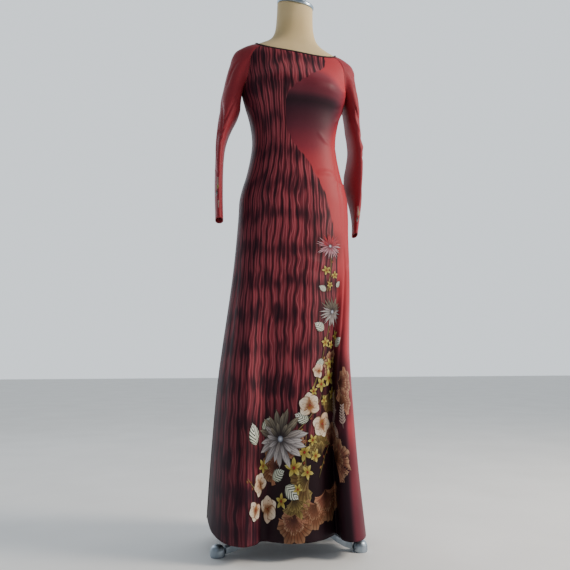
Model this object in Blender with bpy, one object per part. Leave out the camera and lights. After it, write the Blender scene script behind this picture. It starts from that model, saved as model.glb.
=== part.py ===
"""An ao dai tunic worn on a limbless dress form.

The tunic is a long fitted body in a front and a back panel, open at both sides from the hip down,
with raglan sleeves and a bound boat neck. It hangs, hollow, on a smooth covered bust form that
stands on a pole and three spread feet. Metres, +Z up. The wearer faces -Y, and the wearer's left is +X.
The pieces are built round the pole's axis, and the last step puts the origin in the middle of the base.
"""

import math
from collections import namedtuple

import bmesh
import bpy
from mathutils import Matrix, Vector

# Driving sizes
CLOTH = 0.0012  # thickness of the cloth wall
SEAM_GAP = 0.0003  # between two pieces at a seam
SEAT_GAP = 0.0007  # between the form and the cloth that rests on it
HEM_Z = 0.047
HIP_Z = 0.93
WAIST_Z = 1.131
UNDERARM_Z = 1.285
NECK_SIDE_Z = 1.424
NECK_FRONT_DROP = 0.038
NECK_BACK_DROP = 0.022
RAGLAN_TOP_DEG = 50.0  # where the raglan seam meets the neckline, measured round from the side
BUST_Z = 1.287
BUST_X = 0.074
BUST_RISE = 0.021
BUST_SPREAD_X = 0.046
BUST_SPREAD_Z = 0.043
BUST_DIP = 0.16  # how much lower the skin is between the two sides of the bust
BUST_DIP_X = 0.030
BIND_RADIUS = 0.0018
BIND_STAND = 1.1  # how far the binding's middle stands off the skin, in radii
BIND_STEPS = 72
BIND_SIDES = 6
LEFT_DROP = 0.015  # how much lower the wearer's left shoulder stands than the right
LEFT_DROP_ACROSS = (-0.05, 0.12)
LEFT_DROP_FROM = (1.20, 1.36)
LEFT_DROP_TO = (1.43, 1.54)
SECTION_POWER = 2.25  # a little squarer than an ellipse
FORM_DEPTH = 0.085  # about, from the middle of the form to its front

# How much further than the seat gap the cloth stands off the form, and round which height
Ease = namedtuple("Ease", "amount z spread")
WAIST_EASE = Ease(0.0030, WAIST_Z, 0.09)
UNDERARM_EASE = Ease(0.0045, 1.255, 0.055)
BUST_EASE = Ease(0.0009, BUST_Z, 0.07)
SHOULDER_EASE = Ease(0.0006, 1.397, 0.022)
HIP_EASE = 0.0016
HIP_EASE_FROM = (0.96, 1.08)

# The form's level sections: half width, depth to the front and to the back of the centre line,
# and how far that centre line lies from the part's own axis.
Section = namedtuple("Section", "z half_width front back centre_y")
FORM = [
    Section(0.800, 0.128, 0.078, 0.092, 0.000),
    Section(0.850, 0.143, 0.087, 0.106, 0.000),
    Section(0.900, 0.153, 0.092, 0.116, 0.000),
    Section(0.945, 0.156, 0.094, 0.119, 0.000),
    Section(0.990, 0.149, 0.093, 0.114, 0.000),
    Section(1.050, 0.132, 0.088, 0.096, 0.000),
    Section(1.131, 0.118, 0.083, 0.077, 0.000),
    Section(1.200, 0.126, 0.093, 0.084, 0.000),
    Section(1.250, 0.139, 0.102, 0.092, 0.000),
    Section(1.285, 0.149, 0.104, 0.097, 0.000),
    Section(1.330, 0.158, 0.095, 0.101, 0.000),
    Section(1.360, 0.169, 0.084, 0.098, 0.000),
    Section(1.383, 0.174, 0.075, 0.092, 0.000),
    Section(1.400, 0.166, 0.068, 0.087, 0.000),
    Section(1.412, 0.147, 0.064, 0.082, 0.000),
    Section(1.425, 0.118, 0.060, 0.075, 0.000),
    Section(1.438, 0.088, 0.057, 0.068, -0.001),
    Section(1.455, 0.068, 0.054, 0.059, -0.003),
    Section(1.480, 0.057, 0.052, 0.052, -0.008),
    Section(1.515, 0.053, 0.050, 0.050, -0.014),
    Section(1.553, 0.052, 0.049, 0.049, -0.019),
]

# The front raglan seam from the underarm to the neckline: degrees round from the side, and height.
Seam = namedtuple("Seam", "share degrees z")
RAGLAN = [
    Seam(0.00, 0.0, UNDERARM_Z),
    Seam(0.20, 15.0, 1.295),
    Seam(0.40, 26.0, 1.318),
    Seam(0.60, 34.0, 1.345),
    Seam(0.80, 41.5, 1.374),
    Seam(1.00, RAGLAN_TOP_DEG, 1.4045),
]

# The hem seen from above, from the wearer's right side slit to the left one. The three crests are
# the hanging folds of the front, and the third one stands in front of the cloth beside it.
Hem = namedtuple("Hem", "share x y z")
FRONT_HEM = [
    Hem(0.000, -0.236, 0.038, 0.078),
    Hem(0.070, -0.230, -0.022, 0.058),
    Hem(0.150, -0.206, -0.092, HEM_Z),
    Hem(0.225, -0.165, -0.140, HEM_Z),
    Hem(0.290, -0.130, -0.126, HEM_Z),
    Hem(0.345, -0.108, -0.096, HEM_Z),
    Hem(0.410, -0.080, -0.112, HEM_Z),
    Hem(0.500, -0.038, -0.136, HEM_Z),
    Hem(0.600, 0.022, -0.132, HEM_Z),
    Hem(0.680, 0.072, -0.100, HEM_Z),
    Hem(0.735, 0.102, -0.066, HEM_Z),
    Hem(0.775, 0.101, -0.100, HEM_Z),
    Hem(0.805, 0.099, -0.132, HEM_Z),
    Hem(0.845, 0.116, -0.153, HEM_Z),
    Hem(0.900, 0.149, -0.140, HEM_Z),
    Hem(0.950, 0.176, -0.092, 0.048),
    Hem(1.000, 0.190, -0.018, 0.056),
]
BACK_HEM = [
    Hem(0.000, 0.190, -0.008, 0.056),
    Hem(0.080, 0.197, 0.062, 0.048),
    Hem(0.180, 0.172, 0.132, HEM_Z),
    Hem(0.270, 0.122, 0.150, HEM_Z),
    Hem(0.370, 0.078, 0.188, HEM_Z),
    Hem(0.450, 0.026, 0.196, HEM_Z),
    Hem(0.520, -0.016, 0.166, HEM_Z),
    Hem(0.600, -0.066, 0.178, HEM_Z),
    Hem(0.690, -0.122, 0.202, HEM_Z),
    Hem(0.780, -0.168, 0.186, 0.050),
    Hem(0.860, -0.206, 0.160, 0.056),
    Hem(0.940, -0.228, 0.104, 0.066),
    Hem(1.000, -0.237, 0.048, 0.078),
]

# An empty sleeve down the arm, for the wearer's right and then left: middle of the tube, half its
# thickness and half its depth, and how far it is turned about its own length.
Arm = namedtuple("Arm", "z x y half_thick half_deep turn_deg")
RIGHT_ARM = [
    Arm(1.279, -0.1840, 0.004, 0.0275, 0.062, 0.0),
    Arm(1.235, -0.1880, 0.002, 0.0275, 0.060, 2.0),
    Arm(1.195, -0.1960, 0.000, 0.0235, 0.056, 4.0),
    Arm(1.150, -0.2075, -0.002, 0.0170, 0.052, 6.0),
    Arm(1.105, -0.2155, -0.004, 0.0132, 0.050, 6.0),
    Arm(1.050, -0.2190, -0.006, 0.0120, 0.048, 6.0),
    Arm(0.990, -0.2200, -0.010, 0.0120, 0.046, 6.0),
    Arm(0.940, -0.2190, -0.014, 0.0115, 0.043, 6.0),
    Arm(0.898, -0.2180, -0.017, 0.0115, 0.041, 6.0),
]
LEFT_ARM = [
    Arm(1.279, 0.1780, 0.004, 0.0215, 0.062, -2.0),
    Arm(1.235, 0.1795, 0.004, 0.0185, 0.060, -4.0),
    Arm(1.200, 0.1815, 0.005, 0.0178, 0.057, -4.0),
    Arm(1.140, 0.1885, 0.006, 0.0165, 0.053, -1.0),
    Arm(1.087, 0.1860, 0.006, 0.0155, 0.050, 8.0),
    Arm(1.035, 0.1815, 0.006, 0.0145, 0.047, 15.0),
    Arm(0.970, 0.1885, 0.008, 0.0130, 0.043, 2.0),
    Arm(0.920, 0.1900, 0.010, 0.0105, 0.041, -10.0),
    Arm(0.876, 0.1880, 0.012, 0.0080, 0.040, -12.0),
]

# How the skirt hangs between hip and hem
RIGHT_BELLY = 0.010  # the wearer's right side swings a little outside a straight line
LEFT_INSET = 0.017  # and the left side hangs straight before it flares
LEFT_INSET_FROM = 0.15  # share of the skirt's length above which it doesn't
LEFT_INSET_FULL = 0.50
SKIRT_OPENS = (-0.25, 0.60)  # shares of the skirt's length between which it widens most
SIDE_X = 0.12  # how far out the sides of the hip lie

# Grid counts
FRONT_COLUMNS = 30
BACK_COLUMNS = 22
RAGLAN_ROWS = 10  # closer together towards the neckline, where the shoulder turns
RAGLAN_CROWDING = 1.3
SLEEVE_TOP_COLUMNS = 5  # on each side of the shoulder's middle, along the neckline
BODICE_ROWS = 8
BODICE_CROWDING = 1.25
HIP_ROWS = 6
SKIRT_ROWS = 11
SLEEVE_COLUMNS = 2 * (RAGLAN_ROWS + SLEEVE_TOP_COLUMNS)
CAP_ROWS = 9
CAP_TILT = 0.040  # how much higher the cap ends on the outer side of the arm than beside the body
CAP_TILT_LEVEL = 0.6
CAP_LEAVES = (0.35, 1.10)  # how strongly the cap leaves the seam, at the underarm and more at the top
CAP_ARRIVES = (0.80, 0.60)  # and how strongly it runs down into the arm
CAP_LEAN = 0.03
CAP_ACROSS = (0.08, 0.42)  # how far each point follows the points beside it rather than those above
CAP_EASE = (0.0007, 0.0008)
CAP_FADES = 0.35
CAP_ROUNDS = 14
SHOULDER_SHARES = (0.30, 0.95)  # where on the raglan seam the cloth lies flat on the shoulder
ARM_POWER = 0.95
SHOULDER_FULLNESS = 0.014
SEAM_NORMAL_ROUNDS = 4
SLEEVE_ROWS = 11
FORM_COLUMNS = 30
Band = namedtuple("Band", "top rows")
FORM_BANDS = [Band(1.24, 12), Band(1.36, 7), Band(1.46, 12), Band(FORM[-1].z, 5)]

# Stand and cap
POLE_RADIUS = 0.014
HUB_RADIUS = 0.030
HUB_LOW_Z = 0.085
HUB_HIGH_Z = 0.135
LEG_WIDTH = 0.022
LEG_HEIGHT = 0.016
LEG_LOW_Z = 0.0145  # the middle of the bar where it meets its foot
LEG_RISE = 0.089  # and how much higher it meets the hub
LEG_STEPS = 6
FOOT_RADIUS = 0.020
FOOT_HEIGHT = 0.030
Leg = namedtuple("Leg", "name degrees reach")
LEGS = [
    Leg("right", 190.8, 0.219),
    Leg("left", 336.0, 0.180),
    Leg("back", 82.0, 0.225),
]
BASE_SHARE = 0.93  # the form's base is this much of its lowest section
BASE_DROP = 0.010
NECK_TILT_FROM = 1.47
NECK_TILT_DEG = 16.0
NECK_LEAN_DEG = 9.0  # the top of the neck also leans to the wearer's left
CAP_LIP_RADIUS = 0.0555
CAP_HEIGHT = 0.012
KNOB_RADIUS = 0.030
KNOB_HEIGHT = 0.026

# Colours
PRINTED_SATIN = (0.16, 0.012, 0.018)
RED_SATIN = (0.30, 0.018, 0.025)
NEAR_BLACK = (0.012, 0.006, 0.008)
SAND = (0.62, 0.47, 0.30)
ALUMINIUM = (0.55, 0.60, 0.66)
STEEL = (0.50, 0.52, 0.55)


def eased(table, value, key="z"):
    """Every column of the table at this value of its key, on a smooth line through the rows."""
    keys = [getattr(row, key) for row in table]
    value = min(max(value, keys[0]), keys[-1])
    high = next(i for i in range(1, len(keys)) if value <= keys[i])
    low = high - 1
    span = keys[high] - keys[low]
    t = (value - keys[low]) / span
    found = {}
    for name in table[0]._fields:
        at = [getattr(row, name) for row in table]
        slope = []
        for i in (low, high):
            before, after = max(i - 1, 0), min(i + 1, len(keys) - 1)
            slope.append((at[after] - at[before]) / (keys[after] - keys[before]) * span)
        a, b = at[low], at[high]
        found[name] = (
            (2 * t**3 - 3 * t**2 + 1) * a
            + (t**3 - 2 * t**2 + t) * slope[0]
            + (3 * t**2 - 2 * t**3) * b
            + (t**3 - t**2) * slope[1]
        )
    return type(table[0])(**found)


def smooth_step(low, high, value):
    t = min(max((value - low) / (high - low), 0.0), 1.0)
    return t * t * (3 - 2 * t)


def signed_power(value, power):
    return math.copysign(abs(value) ** power, value)


def form_point(degrees, z):
    """A point of the form's skin. 0 degrees is the wearer's left side, and 270 the front."""
    section = eased(FORM, z)
    angle = math.radians(degrees)
    across, along = math.cos(angle), math.sin(angle)
    power = 2 / SECTION_POWER
    depth = section.front if along < 0 else section.back
    x = section.half_width * signed_power(across, power)
    y = section.centre_y + depth * signed_power(along, power)
    if along < 0:
        past = max(abs(x) - BUST_X, 0.0) / BUST_SPREAD_X
        rise = math.exp(-(((z - BUST_Z) / BUST_SPREAD_Z) ** 2)) * math.exp(-(past**2))
        dip = 1 - BUST_DIP * math.exp(-((x / BUST_DIP_X) ** 2))
        y -= BUST_RISE * rise * dip * min(1.0, abs(along) * 2)
    return Vector((x, y, z))


def degrees_at(point):
    """The direction, as form_point counts it, in which a point near the form lies."""
    section = eased(FORM, point.z)
    y = point.y - section.centre_y
    depth = section.front if y < 0 else section.back
    across = signed_power(point.x / section.half_width, SECTION_POWER / 2)
    return math.degrees(math.atan2(signed_power(y / depth, SECTION_POWER / 2), across))


def ease_near(ease, z):
    return ease.amount * math.exp(-(((z - ease.z) / ease.spread) ** 2))


def cloth_ease(z, degrees):
    """How far the cloth's outer face stands off the form at this height."""
    along = math.sin(math.radians(degrees))
    side = (1 - along * along) ** 2
    underarm = side * ease_near(UNDERARM_EASE, z)
    bust = max(-along, 0.0) * ease_near(BUST_EASE, z)
    hip = HIP_EASE * (1 - smooth_step(*HIP_EASE_FROM, z))
    level = ease_near(WAIST_EASE, z) + ease_near(SHOULDER_EASE, z)
    return SEAT_GAP + CLOTH + level + underarm + bust + hip


def form_normal(degrees, z):
    around = form_point(degrees + 0.5, z) - form_point(degrees - 0.5, z)
    upward = form_point(degrees, z + 0.002) - form_point(degrees, z - 0.002)
    return around.cross(upward).normalized()


def body_cloth_point(degrees, z):
    return form_point(degrees, z) + form_normal(degrees, z) * cloth_ease(z, degrees)


def clear_of_form(point, gap):
    """The point itself, or moved out to this far from the form where it is nearer."""

    def level(at):
        section = eased(FORM, at.z)
        depth = section.front if at.y < section.centre_y else section.back
        across = abs(at.x / section.half_width) ** SECTION_POWER
        return across + abs((at.y - section.centre_y) / depth) ** SECTION_POWER - 1

    step = 0.0005
    for _ in range(4):
        here = level(point)
        slope = Vector(
            (level(point + axis * step) - here) / step
            for axis in (Vector((1, 0, 0)), Vector((0, 1, 0)), Vector((0, 0, 1)))
        )
        distance = here / slope.length
        if distance >= gap:
            break
        point = point + slope.normalized() * (gap - distance)
    return point


def neckline_z(degrees):
    along = math.sin(math.radians(degrees))
    drop = NECK_FRONT_DROP if along < 0 else NECK_BACK_DROP
    return NECK_SIDE_Z - drop * abs(along) ** 2.5


def lowered(point):
    """The point, dropped with the wearer's left shoulder, which stands a little lower than the right."""
    drop = LEFT_DROP * smooth_step(*LEFT_DROP_ACROSS, point.x)
    drop *= smooth_step(*LEFT_DROP_FROM, point.z) * (1 - smooth_step(*LEFT_DROP_TO, point.z))
    return Vector((point.x, point.y, point.z - drop))


def mesh_object(name, faces_from, colour, roughness, metallic=0.0):
    """A named object with its own material, from a function that fills a bmesh."""
    bm = bmesh.new()
    faces_from(bm)
    bmesh.ops.recalc_face_normals(bm, faces=bm.faces)
    mesh = bpy.data.meshes.new(name)
    bm.to_mesh(mesh)
    bm.free()
    mesh.shade_smooth()
    item = bpy.data.objects.new(name, mesh)
    bpy.context.scene.collection.objects.link(item)
    material = bpy.data.materials.new(name)
    material.use_nodes = True
    shader = material.node_tree.nodes["Principled BSDF"]
    shader.inputs["Base Color"].default_value = (*colour, 1.0)
    shader.inputs["Roughness"].default_value = roughness
    shader.inputs["Metallic"].default_value = metallic
    mesh.materials.append(material)
    return item


def grid_normals(grid, around):
    """Outward normals of a grid of points, from the points beside each one."""
    rows, columns = len(grid), len(grid[0])
    normals = []
    for r in range(rows):
        line = []
        for c in range(columns):
            up, down = grid[max(r - 1, 0)][c], grid[min(r + 1, rows - 1)][c]
            if around:
                left, right = grid[r][c - 1], grid[r][(c + 1) % columns]
            else:
                left, right = grid[r][max(c - 1, 0)], grid[r][min(c + 1, columns - 1)]
            normal = (right - left).cross(up - down)
            line.append(normal.normalized())
        normals.append(line)
    return normals


def cloth_wall(name, grid, around, colour, flip=False, known_normals=()):
    """A closed wall of cloth whose outer face runs through the grid's points."""
    normals = grid_normals(grid, around)
    for r, line in enumerate(known_normals):
        normals[r] = line
    side = -1.0 if flip else 1.0
    rows, columns = len(grid), len(grid[0])

    def fill(bm):
        outer = [[bm.verts.new(lowered(point)) for point in line] for line in grid]
        inner = []
        for r in range(rows):
            behind = [grid[r][c] - normals[r][c] * CLOTH * side for c in range(columns)]
            inner.append([bm.verts.new(lowered(point)) for point in behind])
        spans = columns if around else columns - 1
        for c in range(spans):
            d = (c + 1) % columns
            for r in range(rows - 1):
                bm.faces.new((outer[r][c], outer[r + 1][c], outer[r + 1][d], outer[r][d]))
                bm.faces.new((inner[r][c], inner[r][d], inner[r + 1][d], inner[r + 1][c]))
            bm.faces.new((outer[0][c], outer[0][d], inner[0][d], inner[0][c]))
            bm.faces.new((outer[-1][c], inner[-1][c], inner[-1][d], outer[-1][d]))
        if not around:
            for r in range(rows - 1):
                bm.faces.new((outer[r][0], inner[r][0], inner[r + 1][0], outer[r + 1][0]))
                bm.faces.new((outer[r][-1], outer[r + 1][-1], inner[r + 1][-1], inner[r][-1]))

    return mesh_object(name, fill, colour, 0.55)


def raglan_place(step, start_degrees):
    """Turn from the side and height on the raglan seam, by steps down from the neckline."""
    share = 1 - (step / RAGLAN_ROWS) ** RAGLAN_CROWDING
    seam = eased(RAGLAN, share, "share")
    corner = neckline_z(start_degrees + RAGLAN_TOP_DEG)
    rise = (seam.z - UNDERARM_Z) / (RAGLAN[-1].z - UNDERARM_Z)
    return seam.degrees, UNDERARM_Z + (corner - UNDERARM_Z) * rise, rise


def panel_grid(columns, start_degrees, hem):
    """The outer face of a front or back panel, row by row from the neckline down to the hem."""
    rows, normals = [], []

    def add_row(places):
        rows.append([body_cloth_point(*place) for place in places])
        normals.append([form_normal(*place) for place in places])

    # Half of the side seam's gap on each panel, as an angle.
    half_gap = math.degrees(math.asin((SEAM_GAP / 2 / FORM_DEPTH) ** (SECTION_POWER / 2)))
    shares = [c / columns for c in range(columns + 1)]
    for step in range(RAGLAN_ROWS):
        turn, _, rise = raglan_place(step, start_degrees)
        places = []
        for share in shares:
            top = RAGLAN_TOP_DEG + (180 - 2 * RAGLAN_TOP_DEG) * share
            z = UNDERARM_Z + (neckline_z(start_degrees + top) - UNDERARM_Z) * rise
            places.append((start_degrees + turn + (180 - 2 * turn) * share, z))
        add_row(places)
    turns = [min(max(180 * share, half_gap), 180 - half_gap) for share in shares]
    levels = []
    for r in range(BODICE_ROWS):
        levels.append(UNDERARM_Z + (WAIST_Z - UNDERARM_Z) * (r / BODICE_ROWS) ** BODICE_CROWDING)
    for r in range(HIP_ROWS + 1):
        levels.append(WAIST_Z + (HIP_Z - WAIST_Z) * r / HIP_ROWS)
    for z in levels:
        add_row([(start_degrees + turn, z) for turn in turns])
    normals.pop()
    hip_row = rows[-1]
    ends = [eased(hem, share, "share") for share in shares]
    for r in range(1, SKIRT_ROWS + 1):
        rows.append([skirt_point(hip, end, r / SKIRT_ROWS) for hip, end in zip(hip_row, ends)])
    return rows, normals


def skirt_point(hip, end, t):
    """A point of the skirt, a share t of the way down from the hip to the hem."""
    opened = t * smooth_step(*SKIRT_OPENS, t)
    x = hip.x + (end.x - hip.x) * opened
    y = hip.y + (end.y - hip.y) * opened
    swing = 4 * t * (1 - t)
    if hip.x < 0:
        x -= RIGHT_BELLY * swing * min(1.0, -hip.x / SIDE_X)
    else:
        set_in = LEFT_INSET * smooth_step(LEFT_INSET_FROM, LEFT_INSET_FULL, t)
        x -= set_in * swing * min(1.0, hip.x / SIDE_X) ** 2
    return Vector((x, y, hip.z + (end.z - hip.z) * t))


def front_panel():
    grid, normals = panel_grid(FRONT_COLUMNS, 180, FRONT_HEM)
    return cloth_wall("front_panel", grid, False, PRINTED_SATIN, known_normals=normals)


def back_panel():
    grid, normals = panel_grid(BACK_COLUMNS, 0, BACK_HEM)
    return cloth_wall("back_panel", grid, False, PRINTED_SATIN, known_normals=normals)


def arm_ring_point(arm, angle, side):
    """A point round the empty sleeve. Angle 0 is the outer side and 90 degrees the front."""
    turn = math.radians(arm.turn_deg) * side
    across = arm.half_thick * signed_power(math.cos(angle), ARM_POWER) * side
    along = -arm.half_deep * signed_power(math.sin(angle), ARM_POWER)
    x = arm.x + across * math.cos(turn) - along * math.sin(turn)
    y = arm.y + across * math.sin(turn) + along * math.cos(turn)
    return Vector((x, y, arm.z))


def seam_place(column, side):
    """Degrees round the form, and height, where this column of the sleeve begins."""
    step = column if column <= SLEEVE_COLUMNS // 2 else column - SLEEVE_COLUMNS
    panel_start = 180 if step > 0 else 0
    if abs(step) <= SLEEVE_TOP_COLUMNS:
        turn = RAGLAN_TOP_DEG * abs(step) / SLEEVE_TOP_COLUMNS
        z = None
    else:
        turn, z, _ = raglan_place(abs(step) - SLEEVE_TOP_COLUMNS, panel_start)
    to_front = -turn if step > 0 else turn
    degrees = to_front if side > 0 else 180 - to_front
    if z is None:
        z = neckline_z(degrees)
    return degrees, z


def sleeve_grid(arms, side):
    """The outer face of a sleeve, from the raglan seam over the shoulder and down to the cuff."""
    table = sorted(arms, key=lambda arm: arm.z)
    top, cuff = arms[0], arms[-1]
    rows = [[] for _ in range(CAP_ROWS + SLEEVE_ROWS + 1)]
    seam_normals = []
    seam_lines = []
    for c in range(SLEEVE_COLUMNS):
        angle = 2 * math.pi * c / SLEEVE_COLUMNS
        degrees, z = seam_place(c, side)
        before = body_cloth_point(*seam_place((c - 1) % SLEEVE_COLUMNS, side))
        after = body_cloth_point(*seam_place((c + 1) % SLEEVE_COLUMNS, side))
        ring = arm_ring_point(top, angle, side)
        outward = Vector((side, 0, 0))
        lift = 0.5 + 0.5 * math.cos(angle)
        ring.z += CAP_TILT * (lift - CAP_TILT_LEVEL)
        # Off the seam the cloth first follows the shoulder, then turns down the arm.
        normal = form_normal(degrees, z)
        along = (after - before).normalized()
        in_skin = along.cross(normal).normalized() * -side
        share = 1 - (min(c, SLEEVE_COLUMNS - c) - SLEEVE_TOP_COLUMNS) / RAGLAN_ROWS
        flat = smooth_step(*SHOULDER_SHARES, share)
        leave = outward.lerp(in_skin, flat).normalized()
        start = body_cloth_point(degrees, z) + leave * (SEAM_GAP * (2 - flat) if share <= 1 else 0.0)
        seam_lines.append((along, normal, flat))
        reach = (ring - start).length
        first = leave * reach * (CAP_LEAVES[0] + CAP_LEAVES[1] * lift * lift)
        last = Vector((CAP_LEAN * side, 0, -1)) * reach * (CAP_ARRIVES[0] + CAP_ARRIVES[1] * lift)
        for r in range(CAP_ROWS):
            t = r / CAP_ROWS
            point = (
                start * (2 * t**3 - 3 * t**2 + 1)
                + first * (t**3 - 2 * t**2 + t)
                + ring * (3 * t**2 - 2 * t**3)
                + last * (t**3 - t**2)
            )
            rows[r].append(point)
        for r in range(SLEEVE_ROWS + 1):
            t = r / SLEEVE_ROWS
            arm = eased(table, top.z + (cuff.z - top.z) * t)
            point = arm_ring_point(arm, angle, side)
            fade = 1 - smooth_step(0, CAP_FADES, t)
            point.z += CAP_TILT * (lift - CAP_TILT_LEVEL) * fade
            rows[CAP_ROWS + r].append(point)
    relax_cap(rows)
    # On the shoulder the two walls share one normal at the seam, and at the underarm they fold apart.
    for c, (along, normal, flat) in enumerate(seam_lines):
        turned_down = along.cross(rows[0][c] - rows[1][c]).normalized() * -side
        seam_normals.append(turned_down.lerp(normal, flat).normalized())
    for _ in range(SEAM_NORMAL_ROUNDS):
        beside = [
            seam_normals[c - 1] + seam_normals[(c + 1) % SLEEVE_COLUMNS] for c in range(SLEEVE_COLUMNS)
        ]
        for c, (_, _, flat) in enumerate(seam_lines):
            seam_normals[c] = (seam_normals[c] + beside[c] * 0.5 * (1 - flat)).normalized()
    return rows, [normal * -side for normal in seam_normals]


def relax_cap(rows):
    """Draws the cap of a sleeve smooth between its seam and the arm, and keeps it off the form."""
    for _ in range(CAP_ROUNDS):
        for r in range(1, CAP_ROWS + 1):
            down = r / CAP_ROWS
            line = []
            for c, point in enumerate(rows[r]):
                outer = 0.5 + 0.5 * math.cos(2 * math.pi * c / SLEEVE_COLUMNS)
                across = CAP_ACROSS[0] + CAP_ACROSS[1] * outer
                beside = rows[r][c - 1] + rows[r][(c + 1) % SLEEVE_COLUMNS]
                above_and_below = rows[r - 1][c] + rows[r + 1][c]
                point = (point + across * beside + (1 - across) * above_and_below) / 3
                degrees = degrees_at(point)
                ease = CAP_EASE[0] + CAP_EASE[1] * min(1.0, 3 * down)
                ease += SHOULDER_FULLNESS * outer**2 * smooth_step(0.2, 0.7, down)
                line.append(clear_of_form(point, cloth_ease(point.z, degrees) + ease))
            rows[r] = line


def sleeve(name, arms, side):
    grid, seam_normals = sleeve_grid(arms, side)
    return cloth_wall(name, grid, True, RED_SATIN, flip=side > 0, known_normals=[seam_normals])


def tube_along(points, radius, sides, name, colour, roughness, metallic=0.0):
    """A closed ring of tube through the points."""

    def fill(bm):
        count = len(points)
        rings = []
        for i, point in enumerate(points):
            along = (points[(i + 1) % count] - points[i - 1]).normalized()
            across = along.cross(Vector((0, 0, 1))).normalized()
            up = across.cross(along)
            ring = []
            for k in range(sides):
                angle = 2 * math.pi * k / sides
                ring.append(
                    bm.verts.new(point + (across * math.cos(angle) + up * math.sin(angle)) * radius)
                )
            rings.append(ring)
        for i in range(count):
            ring, after = rings[i], rings[(i + 1) % count]
            for k in range(sides):
                n = (k + 1) % sides
                bm.faces.new((ring[k], after[k], after[n], ring[n]))

    return mesh_object(name, fill, colour, roughness, metallic)


def neck_binding():
    """The narrow dark binding that sits on the neckline's cut edge."""
    points = []
    for i in range(BIND_STEPS):
        degrees = 360 * i / BIND_STEPS
        z = neckline_z(degrees)
        normal = form_normal(degrees, z)
        on_edge = form_point(degrees, z) + normal * (SEAT_GAP + BIND_RADIUS * BIND_STAND)
        rise = (form_point(degrees, z + 0.002) - form_point(degrees, z)).normalized()
        points.append(lowered(on_edge + rise * (BIND_RADIUS + SEAM_GAP * 2)))
    return tube_along(points, BIND_RADIUS, BIND_SIDES, "neck_binding", NEAR_BLACK, 0.6)


def tilted(point, share):
    """Tips a point of the neck forward and to the wearer's left, as the top of the neck is."""
    forward = (point.y - FORM[-1].centre_y) * math.tan(math.radians(NECK_TILT_DEG))
    sideways = -point.x * math.tan(math.radians(NECK_LEAN_DEG))
    return Vector((point.x, point.y, point.z + (forward + sideways) * share))


def dress_form():
    """The covered bust form: one smooth closed body from the hips to the top of the neck."""
    low, high = FORM[0].z, FORM[-1].z
    levels = [low]
    for band in FORM_BANDS:
        start = levels[-1]
        levels += [start + (band.top - start) * (i + 1) / band.rows for i in range(band.rows)]

    def fill(bm):
        rings = []
        base_ring = []
        for k in range(FORM_COLUMNS):
            point = form_point(360 * k / FORM_COLUMNS, low)
            base_ring.append(bm.verts.new((point.x * BASE_SHARE, point.y * BASE_SHARE, low - BASE_DROP)))
        rings.append(base_ring)
        for z in levels:
            share = smooth_step(NECK_TILT_FROM, high, z)
            ring = []
            for k in range(FORM_COLUMNS):
                point = tilted(form_point(360 * k / FORM_COLUMNS, z), share)
                ring.append(bm.verts.new(lowered(point)))
            rings.append(ring)
        for below, above in zip(rings, rings[1:]):
            for k in range(FORM_COLUMNS):
                n = (k + 1) % FORM_COLUMNS
                bm.faces.new((below[k], below[n], above[n], above[k]))
        bm.faces.new(list(reversed(rings[0])))
        bm.faces.new(rings[-1])

    return mesh_object("dress_form", fill, SAND, 0.8)


def turned(name, profile, steps, colour, roughness, metallic=0.0):
    """A closed turned solid from (radius, z) points, bottom to top."""

    def fill(bm):
        rings = []
        for radius, z in profile:
            ring = []
            for k in range(steps):
                angle = 2 * math.pi * k / steps
                ring.append(bm.verts.new((radius * math.cos(angle), radius * math.sin(angle), z)))
            rings.append(ring)
        for below, above in zip(rings, rings[1:]):
            for k in range(steps):
                n = (k + 1) % steps
                bm.faces.new((below[k], below[n], above[n], above[k]))
        bm.faces.new(list(reversed(rings[0])))
        bm.faces.new(rings[-1])

    item = mesh_object(name, fill, colour, roughness, metallic)
    item.data.set_sharp_from_angle(angle=math.radians(35))
    return item


def neck_cap():
    """The metal cap on the neck: a lipped plate and a short round knob."""
    profile = [
        (CAP_LIP_RADIUS - 0.003, 0.0),
        (CAP_LIP_RADIUS, 0.002),
        (CAP_LIP_RADIUS, CAP_HEIGHT - 0.004),
        (CAP_LIP_RADIUS - 0.003, CAP_HEIGHT),
        (KNOB_RADIUS, CAP_HEIGHT + 0.001),
        (KNOB_RADIUS * 0.94, CAP_HEIGHT + KNOB_HEIGHT * 0.75),
        (KNOB_RADIUS * 0.70, CAP_HEIGHT + KNOB_HEIGHT),
    ]
    item = turned("neck_cap", profile, 32, ALUMINIUM, 0.3, 0.7)
    top = FORM[-1]
    forward = math.tan(math.radians(NECK_TILT_DEG))
    sideways = math.tan(math.radians(NECK_LEAN_DEG))
    normal = Vector((sideways, -forward, 1)).normalized()
    item.location = Vector((0, top.centre_y, top.z)) + normal * SEAM_GAP
    item.rotation_mode = "QUATERNION"
    item.rotation_quaternion = normal.to_track_quat("Z", "Y")
    return item


def pole():
    profile = [(POLE_RADIUS, HUB_HIGH_Z + SEAM_GAP), (POLE_RADIUS, FORM[0].z - BASE_DROP - SEAM_GAP)]
    return turned("pole", profile, 20, STEEL, 0.3, 0.9)


def hub():
    profile = [
        (HUB_RADIUS * 0.8, HUB_LOW_Z),
        (HUB_RADIUS, HUB_LOW_Z + 0.006),
        (HUB_RADIUS, HUB_HIGH_Z - 0.012),
        (POLE_RADIUS + 0.003, HUB_HIGH_Z),
    ]
    return turned("hub", profile, 24, STEEL, 0.3, 0.9)


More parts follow.
